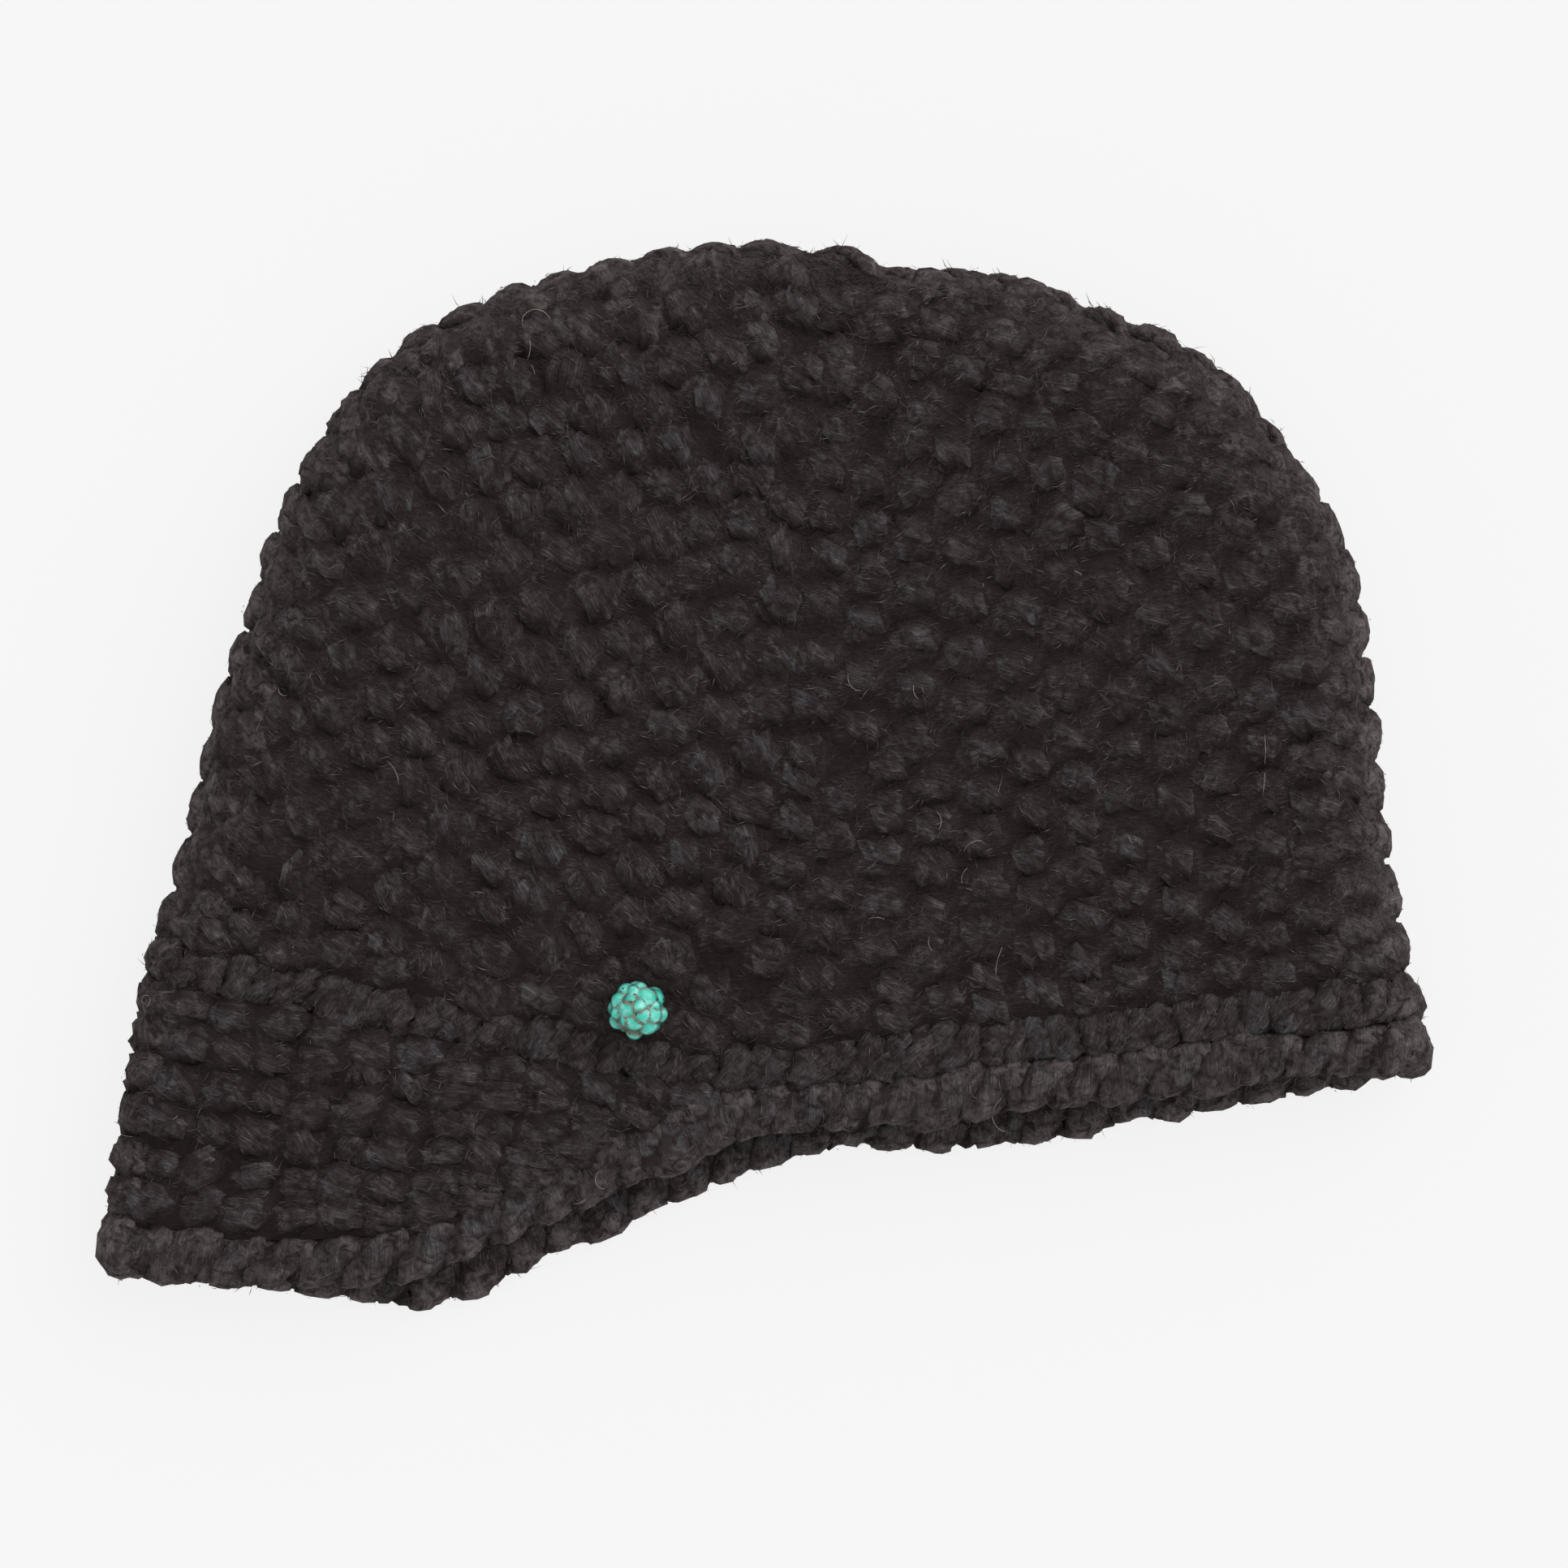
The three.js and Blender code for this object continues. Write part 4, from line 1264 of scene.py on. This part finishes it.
def makeBead(material):
    low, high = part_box("bead")
    middle = np.array((low + high) / 2)
    radius = (high.z - low.z) / 2
    bpy.ops.object.select_all(action="DESELECT")
    bpy.ops.mesh.primitive_ico_sphere_add(subdivisions=5, radius=1)
    piece = bpy.context.active_object
    piece.name = "nugget_bead"
    mesh = piece.data
    direction = np.zeros(len(mesh.vertices) * 3)
    mesh.vertices.foreach_get("co", direction)
    direction = unit(direction.reshape(-1, 3))
    centres, sizes = noduleSpheres()
    reach = 1 - sizes
    ahead = direction @ centres.T * reach
    inside = ahead**2 - reach**2 + sizes**2
    surface = np.where(inside > 0, ahead + np.sqrt(np.maximum(inside, 0)), 0)
    ordered = np.sort(np.maximum(surface, nugget["core"]), 1)
    share = ordered[:, -1]
    lift = (share - nugget["core"]) / (1 - nugget["core"])
    lift = np.minimum(lift, nugget["crease"] * (share - ordered[:, -2]))  # low where two nodules meet
    mesh.vertices.foreach_set("co", (middle + direction * share[:, None] * radius).ravel())
    addValues(mesh, "lift", lift)
    mesh.update()
    editAll(bpy.ops.mesh.vertices_smooth, factor=0.5, repeat=2)
    bpy.ops.object.shade_smooth()
    mesh.materials.clear()
    mesh.materials.append(material)
    return piece


def stoneMaterial():
    # Dyed howlite turquoise, tumbled: a polished waxy stone with dull matrix in the grooves
    material, tree, shader = newMaterial("tumbled_turquoise", 0.5, 1.6)
    place = addNode(tree, "ShaderNodeTexCoord").outputs["Object"]
    clouds = noise(tree, place, perMetre(nugget["clouds"]))
    crumbs = noise(tree, place, perMetre(nugget["crumbs"]), 5.0, 0.7)
    pits = addNode(tree, "ShaderNodeTexVoronoi", {"Scale": perMetre(nugget["pits"])}, {"Vector": place})
    lift = attribute(tree, "lift")
    raised = ranged(tree, lift, 0.25, 0.75)
    stone = mixColour(tree, raised, linear(nugget["shade"]), linear(nugget["stone"]))
    stone = mixColour(tree, ranged(tree, clouds, 0.45, 0.68), stone, linear(nugget["pale"]))
    uneven = maths(tree, "ADD", lift, maths(tree, "MULTIPLY_ADD", crumbs, -1.1, 0.55))
    grooves = ranged(tree, uneven, 0.42, 0.2)
    # the matrix in the grooves, mixed with the dark pit colour: partly real dark pits, partly painted shade
    # deep in the grooves
    matrixPitsAndShade = mixColour(
        tree, ranged(tree, crumbs, 0.5, 0.66), linear(nugget["matrix"]), linear(nugget["pitAndShade"])
    )
    matrix = mixColour(tree, grooves, stone, matrixPitsAndShade)
    pitAmount = ranged(tree, pits.outputs["Distance"], 0.16, 0.08)
    coloured = mixColour(tree, pitAmount, matrix, linear(nugget["pitAndShade"]))
    geometry = addNode(tree, "ShaderNodeNewGeometry")
    turned = addNode(tree, "ShaderNodeSeparateXYZ", None, {"Vector": geometry.outputs["True Normal"]})
    flankShade = ranged(tree, turned.outputs["Z"], 0.75, 0.1, 0.8)  # painted shade: the flanks and underside, turned away from the light, are mixed towards the dark pit colour
    coloured = mixColour(tree, flankShade, coloured, linear(nugget["pitAndShade"]))
    tree.links.new(coloured, shader.inputs["Base Color"])
    dull = addNode(tree, "ShaderNodeMapRange", {"To Min": 0.3, "To Max": 0.8}, {"Value": grooves})
    tree.links.new(dull.outputs["Result"], shader.inputs["Roughness"])
    addBump(tree, shader, crumbs, 0.5, nugget["bump"])
    return material


bead = makeBead(stoneMaterial())
dress(bead, "turquoise", "bead")
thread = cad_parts["bead_thread"].data  # the CAD's own, with a colour
thread.materials.clear()
thread.materials.append(fibreMaterial("waxed_thread", "#2a2727"))
print("bead ready")


# The bloom and the hairs, each in turn on the pieces that they grow from

bloom = lockMaterial()
upperShares = [15000, 1300, 1300, 8500]
upperGrowths = [upperPart, *foldParts, crownGrowth]
bloomUpper = joinedMesh("crown_upper_bloom", [locks(upperGrowths, upperShares)], bloom)
bloomUpperMore = joinedMesh("crown_upper_bloom_second", [locks(upperGrowths, upperShares)], bloom)
bloomLower = joinedMesh("crown_lower_bloom", [locks([lowerPart], [3000])], bloom)
hemGrowths = [bandPart, peakPart, edgingPart, peakGrowth, edgingGrowth]
bloomHem = joinedMesh("hem_bloom", [locks(hemGrowths, [5000, 5500, 7000, 2300, 2200])], bloom)
fuzzPart = looseHairs(
    [upperPart, *foldParts, lowerPart, bandPart, peakPart, edgingPart], [350, 8, 8, 20, 60, 90, 60]
)
fuzz = joinedMesh("loose_hairs", [fuzzPart], fibreMaterial("wool_fibres", hairLook["colour"]))
lintPart = lintHairs([crownUpper, band, peak, edging])
paleHairs = joinedMesh("pale_hairs", [lintPart], fibreMaterial("lint", lintLook["colour"]))
for piece in (bloomUpper, bloomUpperMore, bloomLower, bloomHem, fuzz, paleHairs):
    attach(piece, "root")


# The floor, light and camera

studio = {  # a light table under the cap and a wide soft light over it, from the back of the head
    "floor": "#505050",
    "floorGlow": 0.83,
    "worldStrength": 0.71,
    "keyStrength": 1.6,
    "keyWidth": 60.0,  # degrees
    "keyPlace": (0.95, 0.9, 1.05),
}


bpy.ops.object.select_all(action="DESELECT")
bpy.ops.mesh.primitive_plane_add(size=6, location=(0, 0, -0.0002))
floor = bpy.context.active_object
floor.name = "floor"
# A lit sheet of opal acrylic: mostly its own light, so the shadow on it is faint
glow = {
    "Base Color": linear(studio["floor"]),
    "Emission Color": (1, 1, 1, 1),
    "Emission Strength": studio["floorGlow"],
}
floor.data.materials.append(newMaterial("opal_light_table", 0.9, 1.5, glow)[0])

world = bpy.data.worlds.new("studio")
world.use_nodes = True
world.node_tree.nodes["Background"].inputs["Color"].default_value = (1, 1, 1, 1)
world.node_tree.nodes["Background"].inputs["Strength"].default_value = studio["worldStrength"]
bpy.context.scene.world = world

bpy.ops.object.light_add(type="SUN", location=studio["keyPlace"])
key = bpy.context.active_object
key.name = "wide_soft_light"
key.data.angle = math.radians(studio["keyWidth"])
key.data.energy = studio["keyStrength"]
key.rotation_euler = Vector(studio["keyPlace"]).to_track_quat("Z", "Y").to_euler()

view = {"distance": 1.5, "planeHeight": 0.015, "middle": (0.004075, -0.00157), "width": 0.32844}
camera = bpy.data.objects.new("camera", bpy.data.cameras.new("camera"))
camera.data.sensor_width = 36
camera.data.lens = 36 * view["distance"] / view["width"]
camera.location = (*view["middle"], view["planeHeight"] + view["distance"])
bpy.context.scene.collection.objects.link(camera)
bpy.context.scene.camera = camera
bpy.context.scene.view_settings.view_transform = "Standard"

print("studio ready")
